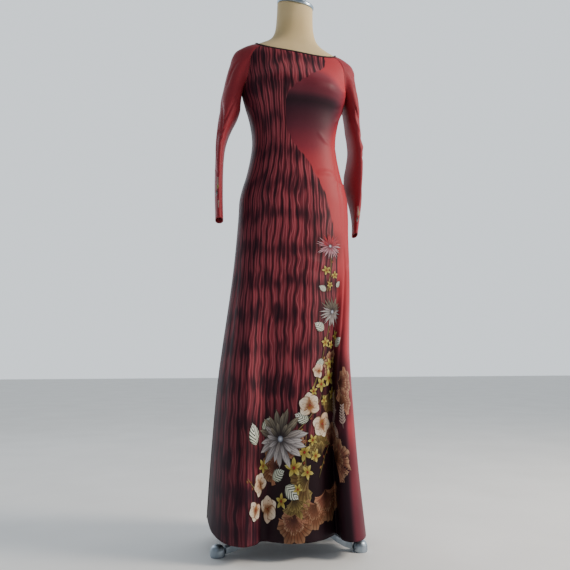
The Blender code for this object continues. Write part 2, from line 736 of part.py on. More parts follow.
def leg_bar(leg):
    """A bar from the hub down to its foot, with a small gap at each end."""
    angle = math.radians(leg.degrees)
    out = Vector((math.cos(angle), math.sin(angle), 0))
    across = Vector((-math.sin(angle), math.cos(angle), 0))
    near = HUB_RADIUS + SEAM_GAP
    far = leg.reach - FOOT_RADIUS - SEAM_GAP
    stations = []
    for i in range(LEG_STEPS + 1):
        t = i / LEG_STEPS
        rise = LEG_RISE * (1 - t) ** 1.5
        stations.append(out * (near + (far - near) * t) + Vector((0, 0, LEG_LOW_Z + rise)))

    def fill(bm):
        rings = []
        for place in stations:
            ring = []
            for side, lift in ((-1, -0.5), (1, -0.5), (1, 0.5), (-1, 0.5)):
                corner = place + across * side * LEG_WIDTH / 2 + Vector((0, 0, lift * LEG_HEIGHT))
                ring.append(bm.verts.new(corner))
            rings.append(ring)
        for near_ring, far_ring in zip(rings, rings[1:]):
            for k in range(4):
                n = (k + 1) % 4
                bm.faces.new((near_ring[k], near_ring[n], far_ring[n], far_ring[k]))
        bm.faces.new(list(reversed(rings[0])))
        bm.faces.new(rings[-1])

    item = mesh_object(f"leg_{leg.name}", fill, STEEL, 0.3, 0.9)
    item.data.set_sharp_from_angle(angle=math.radians(35))
    return item


def foot(leg):
    """A round metal shoe, flat below, that caps the end of a leg."""
    profile = [
        (FOOT_RADIUS * 0.92, 0.0),
        (FOOT_RADIUS, 0.003),
        (FOOT_RADIUS * 0.98, FOOT_HEIGHT * 0.55),
        (FOOT_RADIUS * 0.80, FOOT_HEIGHT * 0.85),
        (FOOT_RADIUS * 0.45, FOOT_HEIGHT),
    ]
    item = turned(f"foot_{leg.name}", profile, 20, STEEL, 0.3, 0.8)
    angle = math.radians(leg.degrees)
    item.location = (leg.reach * math.cos(angle), leg.reach * math.sin(angle), 0)
    return item


def settle():
    """Puts the origin in the middle of the base of the whole part's box."""
    bpy.context.view_layer.update()
    items = list(bpy.data.objects)
    corners = [item.matrix_world @ vertex.co for item in items for vertex in item.data.vertices]
    middle_x = (min(corner.x for corner in corners) + max(corner.x for corner in corners)) / 2
    middle_y = (min(corner.y for corner in corners) + max(corner.y for corner in corners)) / 2
    for item in items:
        item.location.x -= middle_x
        item.location.y -= middle_y


def main():
    for item in list(bpy.data.objects):
        bpy.data.objects.remove(item)
    front_panel()
    back_panel()
    sleeve("sleeve_right", RIGHT_ARM, -1)
    sleeve("sleeve_left", LEFT_ARM, 1)
    neck_binding()
    dress_form()
    neck_cap()
    pole()
    hub()
    for leg in LEGS:
        leg_bar(leg)
        foot(leg)
    settle()


main()
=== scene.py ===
# %% [markdown]
# # A long printed tunic on its dress form
#
# The real object is a fitted tunic of stretch satin: a front and a back panel that are open at both sides
# from the hip down, two long raglan sleeves and a narrow dark binding round a boat neck. It hangs on a
# limbless covered bust form. Its imported solids are loaded first as a fixed frame, and every piece made
# below is laid on them in the same metres. The cloth could be simulated, but its large folds are already
# in the solids, so each shell is grown from the same tables and then given its creases one by one.

# %% Load the imported model
import bisect
import math
import random
from collections import namedtuple

import bpy
import numpy as np
from mathutils import Matrix, Vector


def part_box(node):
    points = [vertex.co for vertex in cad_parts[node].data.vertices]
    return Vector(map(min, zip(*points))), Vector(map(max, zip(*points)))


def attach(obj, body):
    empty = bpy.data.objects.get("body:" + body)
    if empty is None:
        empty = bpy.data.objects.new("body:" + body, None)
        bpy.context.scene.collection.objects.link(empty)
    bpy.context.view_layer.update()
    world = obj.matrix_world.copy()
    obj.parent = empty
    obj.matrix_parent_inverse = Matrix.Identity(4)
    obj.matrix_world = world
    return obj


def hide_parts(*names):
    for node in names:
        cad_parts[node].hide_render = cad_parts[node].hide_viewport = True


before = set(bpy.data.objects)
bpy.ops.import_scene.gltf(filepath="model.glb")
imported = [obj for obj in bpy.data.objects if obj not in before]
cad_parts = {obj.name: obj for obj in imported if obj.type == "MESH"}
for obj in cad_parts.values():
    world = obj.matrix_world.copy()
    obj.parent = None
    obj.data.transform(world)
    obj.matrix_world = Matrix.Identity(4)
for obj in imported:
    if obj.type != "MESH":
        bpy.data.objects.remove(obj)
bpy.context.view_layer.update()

POLE_LOW, POLE_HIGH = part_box("pole")
AXIS = Vector(((POLE_LOW[0] + POLE_HIGH[0]) / 2, (POLE_LOW[1] + POLE_HIGH[1]) / 2, 0.0))
print("pole axis", [round(value, 5) for value in AXIS])

# %% [markdown]
# ## The sizes that the cloth shares with its solids
#
# A shell can only lie on its solid if both come from the same numbers. The tables below are the ones that
# the solids were made from, counted from the pole's axis: level sections of the form, the raglan seam, the
# two hems seen from above, and the two empty sleeves down the arm.

# %% Shared sizes
CLOTH = 0.0012  # thickness of the wall
SEAM_GAP = 0.0003
SEAT_GAP = 0.0007  # between the form and the cloth
HEM_Z = 0.047
HIP_Z = 0.93
WAIST_Z = 1.131
UNDERARM_Z = 1.285
NECK_SIDE_Z = 1.424
NECK_FRONT_DROP = 0.038
NECK_BACK_DROP = 0.022
RAGLAN_TOP_DEG = 50.0
BUST_Z = 1.287
BUST_X = 0.074
BUST_RISE = 0.021
BUST_SPREAD_X = 0.046
BUST_SPREAD_Z = 0.043
BUST_DIP = 0.16
BUST_DIP_X = 0.030
BIND_RADIUS = 0.0018
BIND_STAND = 1.1  # how far the binding's middle stands off the skin, in radii
LEFT_DROP = 0.015
LEFT_DROP_ACROSS = (-0.05, 0.12)
LEFT_DROP_FROM = (1.20, 1.36)
LEFT_DROP_TO = (1.43, 1.54)
SECTION_POWER = 2.25
FORM_DEPTH = 0.085

# How much further than the seat gap the cloth stands off the form, and round which height
Ease = namedtuple("Ease", "amount z spread")
WAIST_EASE = Ease(0.0030, WAIST_Z, 0.09)
UNDERARM_EASE = Ease(0.0045, 1.255, 0.055)
BUST_EASE = Ease(0.0009, BUST_Z, 0.07)
SHOULDER_EASE = Ease(0.0006, 1.397, 0.022)
HIP_EASE = 0.0016
HIP_EASE_FROM = (0.96, 1.08)

# The form's level sections: half width, depth to the front and to the back of the centre line,
# and how far that centre line lies from the part's own axis.
Section = namedtuple("Section", "z half_width front back centre_y")
FORM = [
    Section(0.800, 0.128, 0.078, 0.092, 0.000),
    Section(0.850, 0.143, 0.087, 0.106, 0.000),
    Section(0.900, 0.153, 0.092, 0.116, 0.000),
    Section(0.945, 0.156, 0.094, 0.119, 0.000),
    Section(0.990, 0.149, 0.093, 0.114, 0.000),
    Section(1.050, 0.132, 0.088, 0.096, 0.000),
    Section(1.131, 0.118, 0.083, 0.077, 0.000),
    Section(1.200, 0.126, 0.093, 0.084, 0.000),
    Section(1.250, 0.139, 0.102, 0.092, 0.000),
    Section(1.285, 0.149, 0.104, 0.097, 0.000),
    Section(1.330, 0.158, 0.095, 0.101, 0.000),
    Section(1.360, 0.169, 0.084, 0.098, 0.000),
    Section(1.383, 0.174, 0.075, 0.092, 0.000),
    Section(1.400, 0.166, 0.068, 0.087, 0.000),
    Section(1.412, 0.147, 0.064, 0.082, 0.000),
    Section(1.425, 0.118, 0.060, 0.075, 0.000),
    Section(1.438, 0.088, 0.057, 0.068, -0.001),
    Section(1.455, 0.068, 0.054, 0.059, -0.003),
    Section(1.480, 0.057, 0.052, 0.052, -0.008),
    Section(1.515, 0.053, 0.050, 0.050, -0.014),
    Section(1.553, 0.052, 0.049, 0.049, -0.019),
]

# The front raglan seam from the underarm to the neckline: degrees round from the side, and height.
Seam = namedtuple("Seam", "share degrees z")
RAGLAN = [
    Seam(0.00, 0.0, UNDERARM_Z),
    Seam(0.20, 15.0, 1.295),
    Seam(0.40, 26.0, 1.318),
    Seam(0.60, 34.0, 1.345),
    Seam(0.80, 41.5, 1.374),
    Seam(1.00, RAGLAN_TOP_DEG, 1.4045),
]

# The hem seen from above, from the wearer's right side slit to the left one. The three crests are
# the hanging folds of the front, and the third one stands in front of the cloth beside it.
Hem = namedtuple("Hem", "share x y z")
FRONT_HEM = [
    Hem(0.000, -0.236, 0.038, 0.078),
    Hem(0.070, -0.230, -0.022, 0.058),
    Hem(0.150, -0.206, -0.092, HEM_Z),
    Hem(0.225, -0.165, -0.140, HEM_Z),
    Hem(0.290, -0.130, -0.126, HEM_Z),
    Hem(0.345, -0.108, -0.096, HEM_Z),
    Hem(0.410, -0.080, -0.112, HEM_Z),
    Hem(0.500, -0.038, -0.136, HEM_Z),
    Hem(0.600, 0.022, -0.132, HEM_Z),
    Hem(0.680, 0.072, -0.100, HEM_Z),
    Hem(0.735, 0.102, -0.066, HEM_Z),
    Hem(0.775, 0.101, -0.100, HEM_Z),
    Hem(0.805, 0.099, -0.132, HEM_Z),
    Hem(0.845, 0.116, -0.153, HEM_Z),
    Hem(0.900, 0.149, -0.140, HEM_Z),
    Hem(0.950, 0.176, -0.092, 0.048),
    Hem(1.000, 0.190, -0.018, 0.056),
]
BACK_HEM = [
    Hem(0.000, 0.190, -0.008, 0.056),
    Hem(0.080, 0.197, 0.062, 0.048),
    Hem(0.180, 0.172, 0.132, HEM_Z),
    Hem(0.270, 0.122, 0.150, HEM_Z),
    Hem(0.370, 0.078, 0.188, HEM_Z),
    Hem(0.450, 0.026, 0.196, HEM_Z),
    Hem(0.520, -0.016, 0.166, HEM_Z),
    Hem(0.600, -0.066, 0.178, HEM_Z),
    Hem(0.690, -0.122, 0.202, HEM_Z),
    Hem(0.780, -0.168, 0.186, 0.050),
    Hem(0.860, -0.206, 0.160, 0.056),
    Hem(0.940, -0.228, 0.104, 0.066),
    Hem(1.000, -0.237, 0.048, 0.078),
]

# An empty sleeve down the arm, for the wearer's right and then left: middle of the tube, half its
# thickness and half its depth, and how far it is turned about its own length.
Arm = namedtuple("Arm", "z x y half_thick half_deep turn_deg")
RIGHT_ARM = [
    Arm(1.279, -0.1840, 0.004, 0.0275, 0.062, 0.0),
    Arm(1.235, -0.1880, 0.002, 0.0275, 0.060, 2.0),
    Arm(1.195, -0.1960, 0.000, 0.0235, 0.056, 4.0),
    Arm(1.150, -0.2075, -0.002, 0.0170, 0.052, 6.0),
    Arm(1.105, -0.2155, -0.004, 0.0132, 0.050, 6.0),
    Arm(1.050, -0.2190, -0.006, 0.0120, 0.048, 6.0),
    Arm(0.990, -0.2200, -0.010, 0.0120, 0.046, 6.0),
    Arm(0.940, -0.2190, -0.014, 0.0115, 0.043, 6.0),
    Arm(0.898, -0.2180, -0.017, 0.0115, 0.041, 6.0),
]
LEFT_ARM = [
    Arm(1.279, 0.1780, 0.004, 0.0215, 0.062, -2.0),
    Arm(1.235, 0.1795, 0.004, 0.0185, 0.060, -4.0),
    Arm(1.200, 0.1815, 0.005, 0.0178, 0.057, -4.0),
    Arm(1.140, 0.1885, 0.006, 0.0165, 0.053, -1.0),
    Arm(1.087, 0.1860, 0.006, 0.0155, 0.050, 8.0),
    Arm(1.035, 0.1815, 0.006, 0.0145, 0.047, 15.0),
    Arm(0.970, 0.1885, 0.008, 0.0130, 0.043, 2.0),
    Arm(0.920, 0.1900, 0.010, 0.0105, 0.041, -10.0),
    Arm(0.876, 0.1880, 0.012, 0.0080, 0.040, -12.0),
]

# How the skirt hangs between hip and hem
RIGHT_BELLY = 0.010  # the wearer's right side swings a little outside a straight line
LEFT_INSET = 0.017  # and the left side hangs straight before it flares
LEFT_INSET_FROM = 0.15  # share of the skirt's length above which it doesn't
LEFT_INSET_FULL = 0.50
SKIRT_OPENS = (-0.25, 0.60)  # shares of the skirt's length between which it widens most
SIDE_X = 0.12  # how far out the sides of the hip lie
FRONT_COLUMNS = 30
BACK_COLUMNS = 22
RAGLAN_ROWS = 10  # closer together towards the neckline, where the shoulder turns
RAGLAN_CROWDING = 1.3
SLEEVE_TOP_COLUMNS = 5  # on each side of the shoulder's middle, along the neckline
BODICE_ROWS = 8
BODICE_CROWDING = 1.25
HIP_ROWS = 6
SKIRT_ROWS = 11
SLEEVE_COLUMNS = 2 * (RAGLAN_ROWS + SLEEVE_TOP_COLUMNS)
CAP_ROWS = 9
CAP_TILT = 0.040  # how much higher the cap ends on the outer side of the arm than beside the body
CAP_TILT_LEVEL = 0.6
CAP_LEAVES = (0.35, 1.10)  # how strongly the cap leaves the seam, at the underarm and more at the top
CAP_ARRIVES = (0.80, 0.60)  # and how strongly it runs down into the arm
CAP_LEAN = 0.03
CAP_ACROSS = (0.08, 0.42)  # how far each point follows the points beside it rather than those above
CAP_EASE = (0.0007, 0.0008)
CAP_FADES = 0.35
CAP_ROUNDS = 14
SHOULDER_SHARES = (0.30, 0.95)  # where on the raglan seam the cloth lies flat on the shoulder
ARM_POWER = 0.95
SHOULDER_FULLNESS = 0.014
SLEEVE_ROWS = 11
FOOT_RADIUS = 0.020
FOOT_HEIGHT = 0.030
Leg = namedtuple("Leg", "name degrees reach")
LEGS = [
    Leg("right", 190.8, 0.219),
    Leg("left", 336.0, 0.180),
    Leg("back", 82.0, 0.225),
]
BASE_SHARE = 0.93  # the form's base is this much of its lowest section
BASE_DROP = 0.010
NECK_TILT_FROM = 1.47
NECK_TILT_DEG = 16.0
NECK_LEAN_DEG = 9.0  # the top of the neck also leans to the wearer's left
CAP_LIP_RADIUS = 0.0555
CAP_HEIGHT = 0.012
KNOB_RADIUS = 0.030
KNOB_HEIGHT = 0.026

# %% [markdown]
# ## Laying a point on the form
#
# A covered bust form is a smooth body whose level sections are a little squarer than ellipses. A subdivided
# box could be pulled into that shape, but the cloth has to know its distance from the form everywhere, so
# the form is kept as a function: a direction and a height give a point. The cloth is that point moved out
# along the form's normal by a named ease.

# %% Points of the form and of the cloth on it
def columns_of(table):
    return {name: [getattr(row, name) for row in table] for name in table[0]._fields}


def slopes_of(keys, values):
    last = len(keys) - 1
    found = []
    for i in range(len(keys)):
        before, after = max(i - 1, 0), min(i + 1, last)
        found.append((values[after] - values[before]) / (keys[after] - keys[before]))
    return found


PREPARED = {}


def eased(table, value, key="z"):
    """Every column of the table at this value of its key, on a smooth line through the rows."""
    if (id(table), key) not in PREPARED:
        columns = columns_of(table)
        slopes = {name: slopes_of(columns[key], columns[name]) for name in columns}
        PREPARED[id(table), key] = (table, columns[key], columns, slopes)
    _, keys, columns, slopes = PREPARED[id(table), key]
    value = min(max(value, keys[0]), keys[-1])
    high = min(max(bisect.bisect_left(keys, value), 1), len(keys) - 1)
    low = high - 1
    span = keys[high] - keys[low]
    t = (value - keys[low]) / span
    a, b, c, d = 2 * t**3 - 3 * t**2 + 1, t**3 - 2 * t**2 + t, 3 * t**2 - 2 * t**3, t**3 - t**2
    found = []
    for name in table[0]._fields:
        at, lean = columns[name], slopes[name]
        found.append(a * at[low] + b * span * lean[low] + c * at[high] + d * span * lean[high])
    return type(table[0])(*found)


def smooth_step(low, high, value):
    t = min(max((value - low) / (high - low), 0.0), 1.0)
    return t * t * (3 - 2 * t)


def signed_power(value, power):
    return math.copysign(abs(value) ** power, value)


def form_point(degrees, z):
    """A point of the form's skin. 0 degrees is the wearer's left side, and 270 the front."""
    section = eased(FORM, z)
    angle = math.radians(degrees)
    across, along = math.cos(angle), math.sin(angle)
    power = 2 / SECTION_POWER
    depth = section.front if along < 0 else section.back
    x = section.half_width * signed_power(across, power)
    y = section.centre_y + depth * signed_power(along, power)
    if along < 0:
        past = max(abs(x) - BUST_X, 0.0) / BUST_SPREAD_X
        rise = math.exp(-(((z - BUST_Z) / BUST_SPREAD_Z) ** 2)) * math.exp(-(past**2))
        dip = 1 - BUST_DIP * math.exp(-((x / BUST_DIP_X) ** 2))
        y -= BUST_RISE * rise * dip * min(1.0, abs(along) * 2)
    return Vector((x, y, z))


def degrees_at(point):
    """The direction, as form_point counts it, in which a point near the form lies."""
    section = eased(FORM, point.z)
    y = point.y - section.centre_y
    depth = section.front if y < 0 else section.back
    across = signed_power(point.x / section.half_width, SECTION_POWER / 2)
    return math.degrees(math.atan2(signed_power(y / depth, SECTION_POWER / 2), across))


def ease_near(ease, z):
    return ease.amount * math.exp(-(((z - ease.z) / ease.spread) ** 2))


def cloth_ease(z, degrees):
    """How far the cloth's outer face stands off the form at this height."""
    along = math.sin(math.radians(degrees))
    side = (1 - along * along) ** 2
    underarm = side * ease_near(UNDERARM_EASE, z)
    bust = max(-along, 0.0) * ease_near(BUST_EASE, z)
    hip = HIP_EASE * (1 - smooth_step(*HIP_EASE_FROM, z))
    level = ease_near(WAIST_EASE, z) + ease_near(SHOULDER_EASE, z)
    return SEAT_GAP + CLOTH + level + underarm + bust + hip


def form_normal(degrees, z):
    around = form_point(degrees + 0.5, z) - form_point(degrees - 0.5, z)
    upward = form_point(degrees, z + 0.002) - form_point(degrees, z - 0.002)
    return around.cross(upward).normalized()


def body_cloth_point(degrees, z):
    return form_point(degrees, z) + form_normal(degrees, z) * cloth_ease(z, degrees)


def clear_of_form(point, gap):
    """The point itself, or moved out to this far from the form where it is nearer."""

    def level(at):
        section = eased(FORM, at.z)
        depth = section.front if at.y < section.centre_y else section.back
        across = abs(at.x / section.half_width) ** SECTION_POWER
        return across + abs((at.y - section.centre_y) / depth) ** SECTION_POWER - 1

    step = 0.0005
    for _ in range(4):
        here = level(point)
        slope = Vector(
            (level(point + axis * step) - here) / step
            for axis in (Vector((1, 0, 0)), Vector((0, 1, 0)), Vector((0, 0, 1)))
        )
        distance = here / slope.length
        if distance >= gap:
            break
        point = point + slope.normalized() * (gap - distance)
    return point


def neckline_z(degrees):
    along = math.sin(math.radians(degrees))
    drop = NECK_FRONT_DROP if along < 0 else NECK_BACK_DROP
    return NECK_SIDE_Z - drop * abs(along) ** 2.5


def tilted(point, share):
    """Tips a point of the neck forward and to the wearer's left, as the top of the neck is."""
    forward = (point.y - FORM[-1].centre_y) * math.tan(math.radians(NECK_TILT_DEG))
    sideways = -point.x * math.tan(math.radians(NECK_LEAN_DEG))
    return Vector((point.x, point.y, point.z + (forward + sideways) * share))


# %% [markdown]
# ## The grids of the panels and the sleeves
#
# A pattern cutter draws a panel as rows across the body, and the raglan seam is where those rows end. The
# grids here run the same way, from the neckline down. The sleeve starts on that same seam, follows the
# shoulder and turns down the arm, and a few rounds of averaging draw its cap as smooth as hanging cloth.

# %% Coarse grids, as in the solids
def raglan_place(step, start_degrees):
    """Turn from the side and height on the raglan seam, by steps down from the neckline."""
    share = 1 - (step / RAGLAN_ROWS) ** RAGLAN_CROWDING
    seam = eased(RAGLAN, share, "share")
    corner = neckline_z(start_degrees + RAGLAN_TOP_DEG)
    rise = (seam.z - UNDERARM_Z) / (RAGLAN[-1].z - UNDERARM_Z)
    return seam.degrees, UNDERARM_Z + (corner - UNDERARM_Z) * rise, rise


def panel_grid(columns, start_degrees, hem):
    """The outer face of a front or back panel, row by row from the neckline down to the hem."""
    rows = []
    # Half of the side seam's gap on each panel, as an angle.
    half_gap = math.degrees(math.asin((SEAM_GAP / 2 / FORM_DEPTH) ** (SECTION_POWER / 2)))
    shares = [c / columns for c in range(columns + 1)]
    for step in range(RAGLAN_ROWS):
        turn, _, rise = raglan_place(step, start_degrees)
        places = []
        for share in shares:
            top = RAGLAN_TOP_DEG + (180 - 2 * RAGLAN_TOP_DEG) * share
            z = UNDERARM_Z + (neckline_z(start_degrees + top) - UNDERARM_Z) * rise
            places.append((start_degrees + turn + (180 - 2 * turn) * share, z))
        rows.append([body_cloth_point(*place) for place in places])
    turns = [min(max(180 * share, half_gap), 180 - half_gap) for share in shares]
    levels = []
    for r in range(BODICE_ROWS):
        levels.append(UNDERARM_Z + (WAIST_Z - UNDERARM_Z) * (r / BODICE_ROWS) ** BODICE_CROWDING)
    for r in range(HIP_ROWS + 1):
        levels.append(WAIST_Z + (HIP_Z - WAIST_Z) * r / HIP_ROWS)
    for z in levels:
        rows.append([body_cloth_point(start_degrees + turn, z) for turn in turns])
    hip_row = rows[-1]
    ends = [eased(hem, share, "share") for share in shares]
    for r in range(1, SKIRT_ROWS + 1):
        rows.append([skirt_point(hip, end, r / SKIRT_ROWS) for hip, end in zip(hip_row, ends)])
    return rows


def skirt_point(hip, end, t):
    """A point of the skirt, a share t of the way down from the hip to the hem."""
    opened = t * smooth_step(*SKIRT_OPENS, t)
    x = hip.x + (end.x - hip.x) * opened
    y = hip.y + (end.y - hip.y) * opened
    swing = 4 * t * (1 - t)
    if hip.x < 0:
        x -= RIGHT_BELLY * swing * min(1.0, -hip.x / SIDE_X)
    else:
        set_in = LEFT_INSET * smooth_step(LEFT_INSET_FROM, LEFT_INSET_FULL, t)
        x -= set_in * swing * min(1.0, hip.x / SIDE_X) ** 2
    return Vector((x, y, hip.z + (end.z - hip.z) * t))


def arm_ring_point(arm, angle, side):
    """A point round the empty sleeve. Angle 0 is the outer side and 90 degrees the front."""
    turn = math.radians(arm.turn_deg) * side
    across = arm.half_thick * signed_power(math.cos(angle), ARM_POWER) * side
    along = -arm.half_deep * signed_power(math.sin(angle), ARM_POWER)
    x = arm.x + across * math.cos(turn) - along * math.sin(turn)
    y = arm.y + across * math.sin(turn) + along * math.cos(turn)
    return Vector((x, y, arm.z))


def seam_place(column, side):
    """Degrees round the form, and height, where this column of the sleeve begins."""
    step = column if column <= SLEEVE_COLUMNS // 2 else column - SLEEVE_COLUMNS
    panel_start = 180 if step > 0 else 0
    if abs(step) <= SLEEVE_TOP_COLUMNS:
        turn = RAGLAN_TOP_DEG * abs(step) / SLEEVE_TOP_COLUMNS
        z = None
    else:
        turn, z, _ = raglan_place(abs(step) - SLEEVE_TOP_COLUMNS, panel_start)
    to_front = -turn if step > 0 else turn
    degrees = to_front if side > 0 else 180 - to_front
    if z is None:
        z = neckline_z(degrees)
    return degrees, z


def sleeve_grid(arms, side):
    """The outer face of a sleeve, from the raglan seam over the shoulder and down to the cuff."""
    table = sorted(arms, key=lambda arm: arm.z)
    top, cuff = arms[0], arms[-1]
    rows = [[] for _ in range(CAP_ROWS + SLEEVE_ROWS + 1)]
    for c in range(SLEEVE_COLUMNS):
        angle = 2 * math.pi * c / SLEEVE_COLUMNS
        degrees, z = seam_place(c, side)
        before = body_cloth_point(*seam_place((c - 1) % SLEEVE_COLUMNS, side))
        after = body_cloth_point(*seam_place((c + 1) % SLEEVE_COLUMNS, side))
        ring = arm_ring_point(top, angle, side)
        outward = Vector((side, 0, 0))
        lift = 0.5 + 0.5 * math.cos(angle)
        ring.z += CAP_TILT * (lift - CAP_TILT_LEVEL)
        # Off the seam the cloth first follows the shoulder, then turns down the arm.
        normal = form_normal(degrees, z)
        along = (after - before).normalized()
        in_skin = along.cross(normal).normalized() * -side
        share = 1 - (min(c, SLEEVE_COLUMNS - c) - SLEEVE_TOP_COLUMNS) / RAGLAN_ROWS
        flat = smooth_step(*SHOULDER_SHARES, share)
        leave = outward.lerp(in_skin, flat).normalized()
        start = body_cloth_point(degrees, z) + leave * (SEAM_GAP * (2 - flat) if share <= 1 else 0.0)
        reach = (ring - start).length
        first = leave * reach * (CAP_LEAVES[0] + CAP_LEAVES[1] * lift * lift)
        last = Vector((CAP_LEAN * side, 0, -1)) * reach * (CAP_ARRIVES[0] + CAP_ARRIVES[1] * lift)
        for r in range(CAP_ROWS):
            t = r / CAP_ROWS
            point = (
                start * (2 * t**3 - 3 * t**2 + 1)
                + first * (t**3 - 2 * t**2 + t)
                + ring * (3 * t**2 - 2 * t**3)
                + last * (t**3 - t**2)
            )
            rows[r].append(point)
        for r in range(SLEEVE_ROWS + 1):
            t = r / SLEEVE_ROWS
            arm = eased(table, top.z + (cuff.z - top.z) * t)
            point = arm_ring_point(arm, angle, side)
            fade = 1 - smooth_step(0, CAP_FADES, t)
            point.z += CAP_TILT * (lift - CAP_TILT_LEVEL) * fade
            rows[CAP_ROWS + r].append(point)
    relax_cap(rows)
    return rows


def relax_cap(rows):
    """Draws the cap of a sleeve smooth between its seam and the arm, and keeps it off the form."""
    for _ in range(CAP_ROUNDS):
        for r in range(1, CAP_ROWS + 1):
            down = r / CAP_ROWS
            line = []
            for c, point in enumerate(rows[r]):
                outer = 0.5 + 0.5 * math.cos(2 * math.pi * c / SLEEVE_COLUMNS)
                across = CAP_ACROSS[0] + CAP_ACROSS[1] * outer
                beside = rows[r][c - 1] + rows[r][(c + 1) % SLEEVE_COLUMNS]
                above_and_below = rows[r - 1][c] + rows[r + 1][c]
                point = (point + across * beside + (1 - across) * above_and_below) / 3
                degrees = degrees_at(point)
                ease = CAP_EASE[0] + CAP_EASE[1] * min(1.0, 3 * down)
                ease += SHOULDER_FULLNESS * outer**2 * smooth_step(0.2, 0.7, down)
                line.append(clear_of_form(point, cloth_ease(point.z, degrees) + ease))
            rows[r] = line


front_coarse = panel_grid(FRONT_COLUMNS, 180, FRONT_HEM)
back_coarse = panel_grid(BACK_COLUMNS, 0, BACK_HEM)
right_coarse = sleeve_grid(RIGHT_ARM, -1)
left_coarse = sleeve_grid(LEFT_ARM, 1)
print("rows in the front, back and sleeves:", len(front_coarse), len(back_coarse), len(right_coarse))

# %% [markdown]
# ## From a coarse grid to a fine shell
#
# Cloth needs points every few millimetres before a crease can be pressed into it. A subdivision modifier
# would shrink the edges away from the seams, so the grid is refined by a smooth line through its own points
# instead, and each shell keeps exactly to the form of its solid.

# %% Refine a grid
def line_through(points, knots, wanted):
    slopes = np.gradient(points, knots, axis=0)
    high = np.clip(np.searchsorted(knots, wanted), 1, len(knots) - 1)
    low = high - 1
    span = (knots[high] - knots[low])[:, None, None]
    t = (wanted - knots[low])[:, None, None] / span
    return (
        points[low] * (2 * t**3 - 3 * t**2 + 1)
        + slopes[low] * span * (t**3 - 2 * t**2 + t)
        + points[high] * (3 * t**2 - 2 * t**3)
        + slopes[high] * span * (t**3 - t**2)
    )


def between(knots, counts):
    fine = [knots[0]]
    for start, end, count in zip(knots, knots[1:], counts):
        fine += [start + (end - start) * (k + 1) / count for k in range(count)]
    return np.array(fine)


def refine(coarse, row_counts, across, around=False):
    """Fine points, rows by columns, from a coarse grid of points."""
    points = np.array([[tuple(point) for point in row] for row in coarse])
    steps = np.linalg.norm(np.diff(points, axis=0), axis=2).mean(axis=1)
    knots = np.concatenate([[0.0], np.cumsum(steps)])
    points = line_through(points, knots, between(knots, row_counts))
    turned = points.transpose(1, 0, 2)
    if around:
        turned = np.concatenate([turned[-2:], turned, turned[:3]])
    places = np.arange(len(turned), dtype=float)
    first, last = (2.0, float(len(turned) - 3)) if around else (0.0, float(len(turned) - 1))
    wanted = np.linspace(first, last, int(last - first) * across + 1)
    fine = line_through(turned, places, wanted).transpose(1, 0, 2)
    return fine[:, :-1] if around else fine


def outward_normals(points, around, flip):
    down = np.gradient(points, axis=0)
    if around:
        beside = np.roll(points, -1, axis=1) - np.roll(points, 1, axis=1)
    else:
        beside = np.gradient(points, axis=1)
    normals = np.cross(down, beside)
    normals /= np.linalg.norm(normals, axis=2, keepdims=True) + 1e-12
    return -normals if flip else normals


def row_counts(*groups):
    return [count for how_many, count in groups for _ in range(how_many)]


# Each pair gives a number of coarse rows and how many fine rows each of them becomes.
PANEL_ROWS = ((RAGLAN_ROWS, 3), (BODICE_ROWS, 5), (HIP_ROWS, 7), (SKIRT_ROWS, 13))
BACK_ROWS = ((RAGLAN_ROWS, 2), (BODICE_ROWS, 4), (HIP_ROWS, 6), (SKIRT_ROWS, 10))
ARM_ROWS = ((CAP_ROWS, 5), (SLEEVE_ROWS, 9))
FINE_ACROSS = 4


def lowered_points(points):
    """The wearer's left shoulder stands a little lower, as in the solids."""

    def eased_step(low, high, values):
        t = np.clip((values - low) / (high - low), 0, 1)
        return t * t * (3 - 2 * t)

    drop = LEFT_DROP * eased_step(*LEFT_DROP_ACROSS, points[..., 0])
    drop = drop * eased_step(*LEFT_DROP_FROM, points[..., 2])
    drop = drop * (1 - eased_step(*LEFT_DROP_TO, points[..., 2]))
    return points - np.stack([drop * 0, drop * 0, drop], axis=-1)


front_flat = refine(front_coarse, row_counts(*PANEL_ROWS), FINE_ACROSS)
back_flat = refine(back_coarse, row_counts(*BACK_ROWS), FINE_ACROSS)
right_flat = refine(right_coarse, row_counts(*ARM_ROWS), FINE_ACROSS, around=True)
left_flat = refine(left_coarse, row_counts(*ARM_ROWS), FINE_ACROSS, around=True)
print("fine points of the front:", front_flat.shape[:2], "of a sleeve:", left_flat.shape[:2])

# %% [markdown]
# ## Where a point lies on the flat cloth
#
# Folds, seams and print are all measured on the cloth, as a cutter would on the table. Each fine point gets
# a share from edge to edge, a distance in metres from the panel's middle, and a length run down the cloth.

# %% Cloth coordinates
Cloth = namedtuple("Cloth", "points normals share middle height run around")


def laid_out(flat, around=False, flip=False):
    points = lowered_points(flat)
    rows, columns = points.shape[:2]
    beside = np.roll(points, -1, axis=1) if around else points[:, 1:]
    start = points if around else points[:, :-1]
    steps = np.linalg.norm(beside - start, axis=2)
    across = np.concatenate([np.zeros((rows, 1)), np.cumsum(steps, axis=1)], axis=1)
    width = across[:, -1:]
    down = np.linalg.norm(np.diff(points, axis=0), axis=2)
    run = np.concatenate([np.zeros((1, columns)), np.cumsum(down, axis=0)])
    share = np.broadcast_to(np.arange(columns) / (columns if around else columns - 1), (rows, columns))
    middle = (share - 0.5) * width
    return Cloth(points, outward_normals(points, around, flip), share, middle, flat[:, :, 2], run, around)


